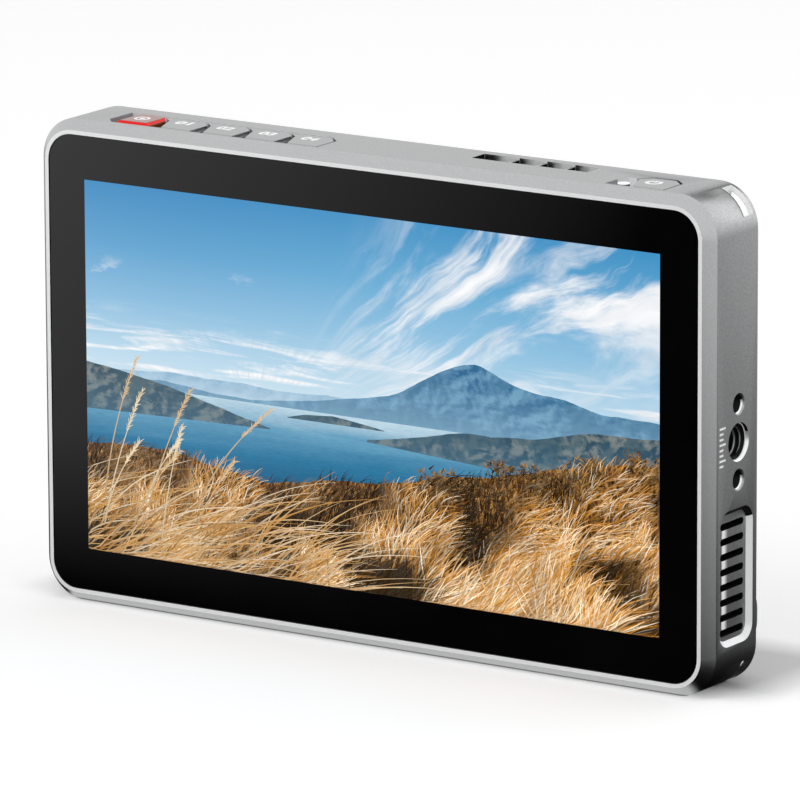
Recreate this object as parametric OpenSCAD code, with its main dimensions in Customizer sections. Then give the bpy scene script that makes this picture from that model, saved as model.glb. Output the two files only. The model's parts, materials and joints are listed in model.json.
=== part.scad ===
// Field monitor for a camera: beveled metal case, cover glass over a wide screen,
// a row of keys on the top edge, side outlet for the cooling fan, tripod threads
// in the right side and the bottom, and a sliding battery mount on the back.
// X runs to the right as the screen is read, Y from the glass to the back, Z up.
// Depths are counted back from the front rim.

/* [Case] */
// Distance from the lit picture to the case's left and right sides
side_border = 10.32; // [9.2:0.01:12]
// Mean distance from the lit picture to the case's top and bottom
end_border = 10.43; // [9.3:0.01:12]
// Depth of the case without the battery bulge
body_d = 16; // [15.8:0.1:20]
// Radius of the case's four corners
corner_r = 7.6; // [7:0.1:9]
// Thickness of the case walls
wall = 2.4; // [2.2:0.1:2.8]
// How far the front bevel runs in from each side
bevel_side = 1.8; // [1.2:0.1:2.2]
// How far the front bevel runs back
bevel_depth = 2.1; // [1.2:0.1:2.6]
// Width of the flat bright rim round the glass
rim_w = 0.75; // [0.5:0.05:1.2]
// Small bevel on the rear edge
rear_bevel = 0.4; // [0.2:0.1:0.6]
// Radius of the inside corners
cavity_r = 13; // [12.6:0.1:14]
// Thickness of the ledge that the glass is stuck to
ledge_t = 1.2; // [0.8:0.1:1.6]

/* [Screen] */
// Width of the lit picture
picture_w = 120.96; // [108:0.01:136]
// Height of the lit picture
picture_h = 68.04; // [61:0.01:77]
// How far the picture's middle sits below the case's middle
picture_drop = 0.15; // [0:0.05:0.4]
// Thickness of the cover glass
glass_t = 1.1; // [0.7:0.1:1.6]
// How far the glass lies behind the rim
glass_recess = 0.15; // [0.05:0.05:0.4]
// Gap between the glass edge and the rim
glass_gap = 0.1; // [0.05:0.05:0.2]
// Thickness of the adhesive under the glass
adhesive_t = 0.15; // [0.1:0.05:0.3]
// Dead border of the display panel round the picture
panel_border = 2.7; // [2:0.1:2.8]
// Air gap between glass and panel
panel_gap = 0.25; // [0.15:0.05:0.4]
// Thickness of the display panel
panel_t = 1.8; // [1.2:0.1:2]
// Thickness of the backlight
backlight_t = 2; // [1.4:0.1:2.2]
// Thickness of the sheet bracket behind the backlight
bracket_t = 0.8; // [0.6:0.1:1]

/* [Keys] */
// Distance from one key to the next
key_pitch = 9.05; // [8.9:0.05:9.4]
// Width of a grey key from its left point to its right side
key_len = 8.3; // [8:0.05:8.5]
// Distance from the case's left side to the first key's middle
first_key_in = 17.9; // [17:0.1:19.5]
// Distance from the case's right side to the power key's middle
power_in = 15.85; // [15.5:0.05:17.5]
// Depth of the keys' front edge
key_front = 3.1; // [3:0.1:3.6]
// Depth of a key's left point, where its rear end begins to slant
key_corner = 9; // [8:0.1:9.4]
// Depth of the keys' rear edge
key_back = 11.2; // [10.6:0.1:11.4]
// Slant of a key's left side in front of its point
key_slant = 2.2; // [1.4:0.1:2.6]
// Gap round the keys in their groove
key_gap = 0.45; // [0.3:0.05:0.6]
// Thickness of a key
key_t = 0.95; // [0.7:0.05:1]
// How far a key goes down
key_travel = 0.35; // [0.2:0.05:0.4]
// Bevel along a key's front and rear edges
key_bevel = 0.3; // [0.15:0.05:0.4]
// How far the red key stands above the case
red_rise = 0.3; // [0:0.05:0.5]
// Distance from the red key's stem to its left side
red_left = 2.7; // [2.2:0.1:3.4]
// Depth of the red key's rear edge
red_back = 10.2; // [9.6:0.1:10.6]
// Bevel round the red key
red_bevel = 0.55; // [0.3:0.05:0.7]
// How far the keys' groove runs on past the first key's place
groove_lead = 0.85; // [0.5:0.05:1]
// Radius of a key's stem
stem_r = 1.5; // [1.1:0.1:1.7]
// Running gap round a stem or plunger
stem_gap = 0.08; // [0.05:0.01:0.1]
// Radius of a switch's plunger
plunger_r = 1.1; // [0.8:0.1:1.3]
// Height that a plunger stands above its switch
plunger_rise = 0.6; // [0.45:0.05:1]
// Height of a switch
switch_h = 1.6; // [1.3:0.1:1.8]
// Width of a switch
switch_w = 4.6; // [4:0.1:5.4]
// Radius of the status light
light_r = 1.1; // [0.8:0.05:1.2]

/* [Top vent] */
// Distance from the case's right side to the left end of the top vent
vent_in = 54.6; // [53:0.1:60]
// Length of the first opening
vent_first = 6.6; // [5.5:0.1:7]
// Distance from one of the other openings to the next
vent_pitch = 5.75; // [5.4:0.05:6.2]
// Number of openings
vent_count = 4; // [3:1:4]
// Width of the rib between two openings
vent_rib = 0.7; // [0.5:0.1:1]
// Width of the vent from front to back
vent_w = 4.2; // [3.2:0.1:4.6]
// Distance from the vent to the case's back
vent_rear = 2.6; // [2.3:0.1:3.2]
// How deep the ribs lie below the top
vent_recess = 0.35; // [0.2:0.05:0.6]

/* [Side outlet] */
// Height of the outlet's lower edge
outlet_low = 8.8; // [8.4:0.1:9.4]
// Distance that the outlet runs on past the slots' pattern
outlet_end = 1.3; // [1.1:0.1:1.6]
// Depth of the outlet's front edge
outlet_front = 3.2; // [3:0.1:3.6]
// Distance from the outlet to the case's back
outlet_rear = 1.7; // [1.2:0.1:2.2]
// How deep the outlet is sunk
outlet_sink = 0.9; // [0.7:0.1:1.3]
// Corner radius of the outlet
outlet_r = 3; // [2.4:0.1:3.4]
// Number of slots in the outlet
slot_count = 8; // [6:1:8]
// Distance from one slot to the next
slot_pitch = 2.7; // [2.5:0.05:2.75]
// Height of one slot
slot_h = 1.25; // [1:0.05:1.6]
// Margin between the slots' ends and the floor's edge
slot_margin = 0.8; // [0.4:0.1:1]

/* [Tripod threads] */
// Distance from the case's back to the threads' axes
thread_rear = 6.6; // [6.4:0.1:7.4]
// Bore radius of the threads
thread_bore = 2.55; // [2.4:0.05:2.7]
// Outer radius of the thread inserts
insert_r = 4.6; // [4:0.1:4.8]
// Distance from a thread insert's inner end to its boss's
insert_short = 0.5; // [0.3:0.1:1]
// Radius of the mouth in front of an insert
mouth_r = 3.45; // [3.3:0.05:3.8]
// How far an insert lies behind the face
insert_sink = 0.7; // [0.5:0.1:1]
// Distance between the two locating holes
pin_spacing = 13.4; // [13:0.1:14]
// Radius of the locating holes
pin_r = 1.7; // [1.5:0.05:1.9]
// Depth of the locating holes
pin_depth = 4; // [3:0.1:4.4]
// Bevel at the mouth of a locating hole
pin_bevel = 0.25; // [0.1:0.05:0.4]

/* [Corner slots] */
// Width of a corner slot from front to back
hood_slot_w = 3.2; // [2.8:0.1:3.8]
// Depth of the bar behind a corner slot
hood_bar_depth = 1.2; // [1:0.1:1.6]
// Thickness of that bar
hood_bar_t = 1; // [0.8:0.1:1.2]
// Clear space behind that bar
hood_space = 2.6; // [2:0.1:2.7]
// Angle that a corner slot covers
hood_angle = 50; // [40:1:54]

/* [Back] */
// Thickness of the rear cover
cover_t = 1.8; // [1.4:0.1:2]
// Gap round the rear cover
cover_gap = 0.2; // [0.1:0.05:0.3]
// Depth of the battery bulge behind the case
bulge_d = 5; // [4.6:0.1:6]
// Distance from the lower bulge to each side of the case
bulge_inset = 3; // [2.6:0.1:8]
// Height where the lower bulge begins
bulge_low = 4; // [3.4:0.1:4.6]
// Height where the lower bulge ends
bulge_high = 18.3; // [17.4:0.1:19]
// Corner radius of the lower bulge
bulge_r = 6; // [5.4:0.1:6.6]
// Width of the battery column
column_w = 46; // [44:0.1:50]
// Distance from the column's top to the case's top
column_top = 6.4; // [5.6:0.1:7]
// Depth of the battery column behind the case
column_d = 2.2; // [2:0.1:2.4]
// Width of the battery mount
mount_w = 41; // [40:0.1:43]
// Thickness of the battery mount's base
mount_t = 1.4; // [1.3:0.1:1.5]
// Thickness of the rails' hooks
hook_t = 0.6; // [0.4:0.1:0.7]
// Travel of the battery latch
latch_travel = 2.2; // [1.5:0.1:2.4]
// Distance from the column's top to the latch's middle
latch_drop = 9.9; // [9.6:0.1:11]

/* [Inside] */
// Length of the posts between bracket and main board
standoff = 2.9; // [2.6:0.1:3]
// Thickness of the boards
board_t = 1; // [0.8:0.1:1.2]
// Gap between the main board and the blower
blower_room_left = 2.2; // [1.5:0.1:3]
// Radius of the screws' shanks
screw_r = 1; // [0.8:0.05:1.1]
// Radius of the screws' heads
head_r = 1.9; // [1.6:0.1:2]
// Height of the screws' heads
head_t = 1; // [0.8:0.1:1.1]
// Distance from the case's right side to the fan's middle
fan_in = 17.8; // [16:0.1:19]
// Height of the fan's middle above the outlet's
fan_lift = 2.1; // [1.5:0.1:3]
// Radius of the fan's wheel
fan_r = 8.8; // [8:0.1:9]
// Number of fan blades
blade_count = 11; // [7:2:15]

/* [Hidden] */

$fn = 64;
// Slack by which a cut runs past the face it opens
cut = 1;
// Gap between pieces that are fitted but not stuck
fit = 0.1;
// Radial gap round a screw's or axle's shank
shank_gap = 0.03;
// Gap between a screw's tip and what lies under it
tip_gap = 0.3;
// Length and width of a screw head's cross slot, as shares of its radius
cross_len = 1.2;
cross_w = 0.25;

// Depths, counted back from the rim
front_y = -(body_d + bulge_d) / 2;
glass_back = glass_recess + glass_t;
seat_depth = glass_back + adhesive_t;
ledge_back = seat_depth + ledge_t;
panel_front = glass_back + panel_gap;
panel_back = panel_front + panel_t;
light_back = panel_back + backlight_t;
bracket_back = light_back + bracket_t;
board_front = bracket_back + standoff;
board_back = board_front + board_t;
cover_front = body_d - cover_t;
total_d = body_d + bulge_d;

// Heights and half widths
half_w = picture_w / 2 + side_border;
mid_z = picture_h / 2 + end_border;
body_w = 2 * half_w;
body_h = 2 * mid_z;
inner_w = half_w - wall;
inner_h = mid_z - wall;
picture_z = mid_z - picture_drop;
glass_w = body_w - 2 * (bevel_side + rim_w);
glass_h = body_h - 2 * (bevel_side + rim_w);
glass_r = corner_r - bevel_side - rim_w;
panel_w = picture_w + 2 * panel_border;
panel_h = picture_h + 2 * panel_border;
panel_low = picture_z - panel_h / 2;
panel_high = picture_z + panel_h / 2;
panel_clear = 0.4;
bracket_margin = 0.5;
window_x = -4;
window_w = 60;
window_h = 40;
window_r = 4;

// Rear opening: a step in the wall that the cover lies in
step_w = 0.8;
rear_w = body_w - 2 * (wall - step_w);
rear_h = body_h - 2 * (wall - step_w);
rear_r = cavity_r + step_w;
corner_x = half_w - corner_r;
corner_z = mid_z - corner_r;

// Case screws sit a little inside the corners' centres
screw_inset = 0.7;
case_boss_r = 3.4;
case_boss_front = 9;
case_screw_x = corner_x - screw_inset;
case_screw_z = corner_z - screw_inset;

// Keys
power_x = half_w - power_in;
key_count = 5;
last_key = key_count - 1;
key_xs = [for (i = [0 : last_key]) first_key_in - half_w + i * key_pitch];
stem_depth = (key_front + key_back) / 2;
// Room left under a key that is fully pressed
key_floor_gap = 0.1;
groove_z = body_h - key_t - key_travel - key_floor_gap;
board_lift = 0.4;
key_board_low = panel_high + board_lift;
key_board_t = 0.8;
key_board_high = key_board_low + key_board_t;
switch_top = key_board_high + switch_h;
plunger_top = switch_top + plunger_rise;
plunger_dip = 0.5;
switch_floor = 0.35;
key_post_r = 1.6;
key_post_offset = 4.5;
key_board_front = 4.2;
key_board_back = 11.6;
power_board_half = 5.6;
power_board_shift = 1.65;
power_board_x = power_x - power_board_shift;
power_post_depth = key_board_back - key_post_r;
// Status light, in the bay to the left of the power key
light_offset = 4.65;
light_x = power_x - light_offset;
light_depth = 4.7;
bay_left = light_x - 2.6;
bay_cut = 1.1;
bay_corner = 6.9;
bay_back = 8.9;
// Slanted front left corner of the keys' groove, along and across
groove_cut = 1.7;
groove_cut_depth = 1.5;

// Top vent
vent_x = half_w - vent_in;
vent_back = body_d - vent_rear;
vent_front = vent_back - vent_w;

// Side outlet and blower
outlet_h = slot_count * slot_pitch + 2 * outlet_end;
outlet_w = body_d - outlet_rear - outlet_front;
outlet_mid_z = outlet_low + outlet_h / 2;
outlet_mid_depth = outlet_front + outlet_w / 2;
slot_lift = -0.23;
slots_mid_z = outlet_mid_z + slot_lift;
slot_len = outlet_w - 2 * (outlet_sink + slot_margin);
blower_wall = 1;
blower_floor = 0.8;
blower_gap = 1;
blower_lead = 1.7;
blower_rear_gap = 0.9;
blower_side_gap = 0.4;
blower_front = board_front - blower_lead;
blower_back = cover_front - blower_rear_gap;
blower_lid_t = 0.6;
blower_half = fan_r + blower_gap + blower_wall;
blower_right = inner_w - blower_side_gap;
fan_x = half_w - fan_in;
fan_z = outlet_mid_z + fan_lift;
wheel_gap = 0.5;
wheel_front = blower_front + blower_floor + wheel_gap;
wheel_back = blower_back - wheel_gap;
hub_r = 4.2;
hub_wall = 0.8;
axle_r = 0.75;
axle_gap = 0.05;
sleeve_r = 1.3;
blade_t = 0.6;
blade_short = 0.05;
disc_t = 0.5;
crown_t = 1.4;
rotor_gap = 0.3;
intake_share = 0.72;

// Thread bosses: they reach in as far as the display panel
boss_clear = 0.3;
boss_wall = 2.2;
boss_lead = 5;
thread_depth = body_d - thread_rear;
boss_front = thread_depth - boss_lead;
boss_half = pin_spacing / 2 + pin_r + boss_wall;
side_boss_len = side_border - panel_border - boss_clear;
bottom_boss_len = panel_low - boss_clear;
side_thread_z = fan_z + blower_half + boss_clear + boss_half;

// Hood slots
hood_outer = corner_r - hood_bar_t;
hood_inner = hood_outer - hood_space;
hood_slot_back = body_d - hood_bar_depth;
hood_slot_front = hood_slot_back - hood_slot_w;

// Air intake in the rear cover
grille_count = 7;
grille_pitch = 2.5;
grille_slot = 1.3;
grille_gap = 2.4;

// Battery mount
bulge_w = body_w - 2 * bulge_inset;
column_r = 3;
column_high = body_h - column_top;
mount_over_bulge = 3.7;
mount_under_top = 3.5;
mount_low = bulge_high + mount_over_bulge;
mount_r = 2;
column_wall = 1.4;
mount_high = column_high - mount_under_top;
mount_front = body_d + column_d;
mount_face = mount_front + mount_t;
rail_t = 1.9;
hook_len = 10;
hook_reach = 1.4;
hook_rise = 12;
hook_pitch = 20;
hook_zs = [mount_low + hook_rise, mount_low + hook_rise + hook_pitch];
latch_z = column_high - latch_drop;
mount_screw_x = 14.5;
mount_screw_in = 4;
mount_screw_under_latch = 7.6;
mount_screw_zs = [mount_low + mount_screw_in, latch_z - mount_screw_under_latch];
screw_margin = 2;
latch_w = 8;
latch_h = 4.5;
grip_pitch = 1.3;
grip_margin = 0.8;
grip_w = 0.5;
grip_depth = 0.4;
latch_flange = 1.6;
latch_flange_front = body_d + 0.6;
latch_flange_back = mount_front - 0.3;
latch_gap = 0.3;
pocket_floor = body_d - 0.6;
pocket_low = latch_z - latch_h / 2 - latch_flange - latch_gap;
pocket_high = column_high - 1.6;
latch_flange_top = latch_z + latch_h / 2 + latch_flange;
spring_wire = 0.18;
spring_r = 0.62;
spring_turns = 5;
spring_depth = (latch_flange_front + latch_flange_back) / 2;
contact_xs = [-7, 0, 7];
contact_rise = 6;
contact_z = mount_low + contact_rise;
contact_w = 1.2;
contact_h = 6.4;
contact_gap = 0.2;

// Corner radius of the top vent
vent_r = 0.3;

// Posts for the bracket and standoffs for the board
post_r = 1.9;
low_post_inset = 24.5;
low_post_x = case_screw_x - low_post_inset;
low_post_z = (wall + panel_low) / 2;
side_post_x = (inner_w + panel_w / 2) / 2;
standoff_r = 1.8;
socket_room = 11.8;
board_left = socket_room - inner_w;
board_right = fan_x - blower_half - blower_room_left;
board_low = 10;
board_under_top = 10.9;
board_high = body_h - board_under_top;
standoff_left = 3;
standoff_inset = 4;
standoff_xs = [board_left + standoff_left, board_right - standoff_inset];
standoff_zs = [board_low + standoff_inset, board_high - standoff_inset];

// Sockets on the left side, evenly spread between the corner bosses
socket_depth = 9.4;
socket_sink = 0.3;
socket_clear = 0.4;
socket_end = board_left - socket_clear;
socket_gap = 0.1;
shell_t = 0.5;
back_t = 2;
tongue_t = 0.24;
tongue_w = 0.66;
video_w = 14.9;
video_t = 5.4;
usb_w = 9.3;
usb_t = 3.4;
jack_w = 6.4;
jack_r = 2.1;
jack_pin_r = 0.65;
audio_r = 3;
audio_bore = 1.77;
row_low = mid_z - case_screw_z + case_boss_r;
row_high = mid_z + case_screw_z - case_boss_r;
row_widths = [jack_w, usb_w, video_w, video_w, 2 * head_r, 2 * audio_r];
row_space = (row_high - row_low - row_used(6)) / 7;
jack_z = row_z(0);
usb_z = row_z(1);
video_out_z = row_z(2);
video_in_z = row_z(3);
side_post_z = row_z(4);
audio_z = row_z(5);

// Flat cables
flex_t = 0.2;
flex_gap = 0.05;
flex_lap = 4;
screen_flex_in = 23.6;
screen_flex_left = board_left + screen_flex_in;
screen_flex_w = 18;
key_flex_in = 25.6;
key_flex_left = board_left + key_flex_in;
key_flex_w = 10;
power_flex_w = 5;
power_flex_drop = 12;

// Cooling
chip_in = 18;
chip_x = board_right - chip_in;
chip_lift = 1.55;
chip_z = mid_z + chip_lift;
chip_w = 14;
chip_t = 1.1;
pad_t = 0.3;
sink_w = 32;
sink_h = 28;
sink_base = 0.8;
sink_gap = 0.3;
fin_count = 9;
fin_t = 0.8;
memory_w = 9;
memory_h = 11;
memory_t = 0.9;
memory_offset = 22;
memory_pitch = 16;

// Height taken by the first n pieces of the row of sockets, and the middle of piece i
function row_used(n) = n == 0 ? 0 : row_widths[n - 1] + row_used(n - 1);
function row_z(i) = row_low + (i + 1) * row_space + row_used(i) + row_widths[i] / 2;

// ---- Shapes in the three drawing planes ----

// Flat outline in X and Z, filled from one depth to another
module slab(from, to) {
  translate([0, front_y + to, 0])
    rotate([90, 0, 0])
      linear_extrude(height = to - from)
        children();
}

// Flat outline in depth and Z, filled from one X to another
module side_slab(from, to) {
  translate([from, front_y, 0])
    rotate([90, 0, 90])
      linear_extrude(height = to - from)
        children();
}

// Flat outline in X and depth, filled from one height to another
module top_slab(from, to) {
  translate([0, front_y, from])
    linear_extrude(height = to - from)
      children();
}

// Round bar along Y at x and z
module rod_y(x, z, r, from, to) {
  translate([x, front_y + to, z])
    rotate([90, 0, 0])
      cylinder(r = r, h = to - from);
}

// Round bar along X at a depth and z
module rod_x(depth, z, r, from, to) {
  translate([from, front_y + depth, z])
    rotate([0, 90, 0])
      cylinder(r = r, h = to - from);
}

// Round bar along Z at x and a depth
module rod_z(x, depth, r, from, to) {
  translate([x, front_y + depth, from])
    cylinder(r = r, h = to - from);
}

// Rectangle with round corners, about its middle
module round_rect(w, h, r) {
  square([w - 2 * r, h], center = true);
  square([w, h - 2 * r], center = true);
  for (x = [-1, 1], y = [-1, 1])
    translate([x * (w / 2 - r), y * (h / 2 - r)])
      circle(r = r);
}

// Slot outline with round ends, its length along the first axis
module round_slot(len, h) {
  square([len - h, h], center = true);
  for (x = [-1, 1])
    translate([x * (len - h) / 2, 0])
      circle(d = h);
}

// One long side of a beveled frustum
module bevel_prism(w, len, side, depth) {
  rotate([90, 0, 0])
    linear_extrude(height = len, center = true)
      polygon([
        [side - w / 2, 0],
        [w / 2 - side, 0],
        [w / 2, depth],
        [-w / 2, depth]
      ]);
}

// Frustum with round corners: widens by side over depth, along +Z
module bevel_frustum(w, h, r, side, depth) {
  bevel_prism(w, h - 2 * r, side, depth);
  rotate([0, 0, 90])
    bevel_prism(h, w - 2 * r, side, depth);
  for (x = [-1, 1], y = [-1, 1])
    translate([x * (w / 2 - r), y * (h / 2 - r), 0])
      cylinder(r1 = r - side, r2 = r, h = depth);
}

// A grey key's outline about its middle, grown by a margin: its right side is straight up to
// a cut corner, its left side slants to the front and lean is where its rear end lies
module key_outline(lean, margin) {
  half = key_len / 2 + margin;
  corner = key_corner + margin * tan(22.5);
  back = key_back + margin;
  polygon([
    [-half, corner],
    [key_slant - half, key_front - margin],
    [half, key_front - margin],
    [half, corner],
    [half + corner - back, back],
    [lean * (back - corner) - half, back]
  ]);
}

// The groove that the row of keys lies in
module groove_outline() {
  left = key_xs[0] - key_len / 2 - groove_lead;
  right = key_xs[last_key] + key_len / 2 + key_gap;
  corner = key_corner + key_gap * tan(22.5);
  back = key_back + key_gap;
  polygon([
    [left, key_front + groove_cut_depth],
    [left + groove_cut, key_front - key_gap],
    [right, key_front - key_gap],
    [right, corner],
    [right + corner - back, back],
    [left, back]
  ]);
}

// The pocket round the power key, with a bay for the status light
module power_outline() {
  translate([power_x, 0])
    key_outline(1, key_gap);
  polygon([
    [bay_left, bay_corner],
    [bay_left, key_front - key_gap],
    [power_x, key_front - key_gap],
    [power_x, key_corner],
    [power_x - key_len / 2, key_corner],
    [bay_left + bay_cut, bay_back]
  ]);
}

// Repeats its children at the four corners of the case, about the middle
module at_corners() {
  for (x = [0, 1], z = [0, 1])
    translate([0, 0, mid_z])
      mirror([x, 0, 0])
        mirror([0, 0, z])
          children();
}

// ---- Case ----

module case_shell() {
  translate([0, front_y, mid_z])
    rotate([-90, 0, 0])
      bevel_frustum(body_w, body_h, corner_r, bevel_side, bevel_depth);
  translate([0, 0, mid_z])
    slab(bevel_depth, body_d - rear_bevel)
      round_rect(body_w, body_h, corner_r);
  translate([0, front_y + body_d, mid_z])
    rotate([90, 0, 0])
      bevel_frustum(body_w, body_h, corner_r, rear_bevel, rear_bevel);
}

module case_cavity() {
  translate([0, 0, mid_z]) {
    slab(-cut, seat_depth)
      round_rect(glass_w, glass_h, glass_r);
    slab(seat_depth - cut, ledge_back + cut)
      translate([0, -picture_drop])
        square([panel_w + 2 * panel_clear, panel_h + 2 * panel_clear], center = true);
    slab(ledge_back, cover_front + cut)
      round_rect(2 * inner_w, 2 * inner_h, cavity_r);
    slab(cover_front, body_d + cut)
      round_rect(rear_w, rear_h, rear_r);
  }
}

// Block that carries a thread insert and its two locating holes, right side
module side_boss() {
  translate([half_w - side_boss_len, front_y + boss_front, side_thread_z - boss_half])
    cube([side_boss_len - wall / 2, cover_front - boss_front, 2 * boss_half]);
}

module bottom_boss() {
  translate([-boss_half, front_y + boss_front, wall / 2])
    cube([2 * boss_half, cover_front - boss_front, bottom_boss_len - wall / 2]);
}

module case_bosses() {
  side_boss();
  bottom_boss();
  at_corners()
    rod_y(case_screw_x, case_screw_z, case_boss_r, case_boss_front, cover_front);
  for (x = [-low_post_x, low_post_x])
    rod_y(x, low_post_z, post_r, seat_depth, light_back);
  for (x = [-side_post_x, side_post_x])
    rod_y(x, side_post_z, post_r, seat_depth, light_back);
  for (x = [key_xs[0] - key_post_offset, key_xs[last_key] + key_post_offset])
    rod_z(x, stem_depth, key_post_r, key_board_high, body_h - wall / 2);
  rod_z(power_board_x - power_board_half + key_post_r, power_post_depth, key_post_r,
        key_board_high, body_h - wall / 2);
}

// Mouth, seat and locating holes of one tripod thread, along +Z through its boss
module thread_cuts(boss_len) {
  translate([0, 0, -cut])
    cylinder(r = mouth_r, h = insert_sink + 2 * cut);
  translate([0, 0, insert_sink])
    cylinder(r = insert_r, h = boss_len);
  for (x = [-1, 1])
    translate([x * pin_spacing / 2, 0, 0]) {
      translate([0, 0, -cut])
        cylinder(r = pin_r, h = pin_depth + cut);
      cylinder(r1 = pin_r + pin_bevel, r2 = pin_r, h = pin_bevel);
    }
}

// One corner slot with the open space behind its bar, top right corner
module hood_cut() {
  translate([corner_x, front_y + body_d + cut, corner_z])
    rotate([90, 0, 0])
      rotate([0, 0, 45 - hood_angle / 2])
        rotate_extrude(angle = hood_angle)
          translate([hood_inner, 0])
            union() {
              square([hood_space, body_d + cut - hood_slot_front]);
              translate([0, hood_bar_depth + cut])
                square([corner_r, hood_slot_back - hood_slot_front]);
            }
}

module outlet_cut() {
  translate([half_w - outlet_sink, front_y + outlet_mid_depth, outlet_mid_z])
    rotate([90, 0, 90]) {
      bevel_frustum(outlet_w, outlet_h, outlet_r, outlet_sink, outlet_sink);
      translate([0, 0, outlet_sink])
        linear_extrude(height = cut)
          round_rect(outlet_w, outlet_h, outlet_r);
    }
  for (i = [0 : slot_count - 1])
    side_slab(half_w - wall - cut, half_w)
      translate([outlet_mid_depth, slots_mid_z + (i - (slot_count - 1) / 2) * slot_pitch])
        round_slot(slot_len, slot_h);
}

function vent_start(i) = i == 0 ? vent_x : vent_x + vent_first + vent_rib + (i - 1) * vent_pitch;
function vent_end(i) = i == 0 ? vent_x + vent_first : vent_start(i) + vent_pitch - vent_rib;

module top_vent_cut() {
  vent_right = vent_end(vent_count - 1);
  top_slab(body_h - vent_recess, body_h + cut)
    translate([(vent_x + vent_right) / 2, (vent_front + vent_back) / 2])
      round_rect(vent_right - vent_x, vent_w, vent_r);
  for (i = [0 : vent_count - 1])
    top_slab(body_h - wall - cut, body_h)
      translate([(vent_start(i) + vent_end(i)) / 2, (vent_front + vent_back) / 2])
        round_rect(vent_end(i) - vent_start(i), vent_w, vent_r);
}

module key_cuts() {
  top_slab(groove_z, body_h + cut)
    groove_outline();
  top_slab(groove_z, body_h + cut)
    power_outline();
  for (x = concat(key_xs, [power_x]))
    rod_z(x, stem_depth, stem_r + stem_gap, body_h - wall - cut, body_h);
  rod_z(light_x, light_depth, light_r, body_h - wall - cut, body_h);
}

module socket_cuts() {
  for (socket = [[video_in_z, video_w, video_t], [video_out_z, video_w, video_t],
                 [usb_z, usb_w, usb_t], [jack_z, jack_w, jack_w]])
    translate([0, 0, socket[0]])
      side_slab(-half_w - cut, -inner_w + cut)
        translate([socket_depth, 0])
          square([socket[2] + 2 * socket_gap, socket[1] + 2 * socket_gap], center = true);
  rod_x(socket_depth, audio_z, audio_r + socket_gap, -half_w - cut, -inner_w + 2 * cut);
}

module screw_holes() {
  at_corners()
    rod_y(case_screw_x, case_screw_z, screw_r + shank_gap, case_boss_front + cut, body_d);
  for (x = [-low_post_x, low_post_x])
    rod_y(x, low_post_z, screw_r + shank_gap, ledge_back, light_back + cut);
  for (x = [-side_post_x, side_post_x])
    rod_y(x, side_post_z, screw_r + shank_gap, ledge_back, light_back + cut);
}

module main_housing() {
  color("#a9abae")
    difference() {
      union() {
        difference() {
          case_shell();
          case_cavity();
        }
        intersection() {
          case_bosses();
          case_shell();
        }
      }
      translate([half_w, front_y + thread_depth, side_thread_z])
        rotate([0, -90, 0])
          thread_cuts(side_boss_len);
      translate([0, front_y + thread_depth, 0])
        thread_cuts(bottom_boss_len);
      at_corners()
        hood_cut();
      outlet_cut();
      top_vent_cut();
      key_cuts();
      socket_cuts();
      screw_holes();
    }
}

// ---- Screen ----

module cover_glass() {
  color("#0a0a0c")
    translate([0, 0, mid_z])
      slab(glass_recess, glass_back)
        round_rect(glass_w - 2 * glass_gap, glass_h - 2 * glass_gap, glass_r - glass_gap);
}

module glass_adhesive() {
  margin = 0.6;
  color("#202022")
    difference() {
      translate([0, 0, mid_z])
        slab(glass_back, seat_depth)
          round_rect(glass_w - 2 * margin, glass_h - 2 * margin, glass_r - margin);
      translate([0, 0, picture_z])
        slab(glass_back - cut, seat_depth + cut)
          square([panel_w + 2 * panel_clear, panel_h + 2 * panel_clear], center = true);
    }
}

module lcd_panel() {
  color("#15233a")
    translate([0, 0, picture_z])
      slab(panel_front, panel_back)
        square([panel_w, panel_h], center = true);
}

module backlight_unit() {
  color("#f2f2ee")
    translate([0, 0, picture_z])
      slab(panel_back, light_back)
        square([panel_w, panel_h], center = true);
}

// Ear that joins the bracket to a post of the case
module bracket_ear(x, z, to_x, to_z) {
  ear = 2 * post_r;
  translate([min(x, to_x) - ear / 2, min(z, to_z) - ear / 2])
    square([abs(x - to_x) + ear, abs(z - to_z) + ear]);
}

module panel_bracket() {
  margin = 2;
  color("#c4c6c8")
    difference() {
      union() {
        slab(light_back, bracket_back) {
          translate([0, picture_z])
            square([panel_w - 2 * bracket_margin, panel_h - 2 * bracket_margin], center = true);
          for (x = [-1, 1]) {
            bracket_ear(x * low_post_x, low_post_z, x * low_post_x, panel_low + margin);
            bracket_ear(x * side_post_x, side_post_z, x * (panel_w / 2 - margin), side_post_z);
          }
        }
        for (x = standoff_xs, z = standoff_zs)
          rod_y(x, z, standoff_r, bracket_back, board_front);
      }
      for (x = [-1, 1]) {
        rod_y(x * low_post_x, low_post_z, screw_r + shank_gap, 0, body_d);
        rod_y(x * side_post_x, side_post_z, screw_r + shank_gap, 0, body_d);
      }
      for (x = standoff_xs, z = standoff_zs)
        rod_y(x, z, screw_r + shank_gap, bracket_back, body_d);
      slab(0, body_d)
        translate([window_x, picture_z])
          round_rect(window_w, window_h, window_r);
    }
}

// A pan head screw along Y, its head from the given depth backwards
module pan_screw(x, z, head_front, len) {
  difference() {
    union() {
      rod_y(x, z, head_r, head_front, head_front + head_t);
      rod_y(x, z, screw_r, head_front - len, head_front);
    }
    slab(head_front + head_t / 2, head_front + head_t + cut)
      translate([x, z])
        for (turn = [0, 90])
          rotate(turn)
            square([head_r * cross_len, head_r * cross_w], center = true);
  }
}

module bracket_screws() {
  len = bracket_back - ledge_back - tip_gap;
  color("#8f9194")
    for (x = [-1, 1]) {
      pan_screw(x * low_post_x, low_post_z, bracket_back, len);
      pan_screw(x * side_post_x, side_post_z, bracket_back, len);
    }
}

// ---- Electronics ----

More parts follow.
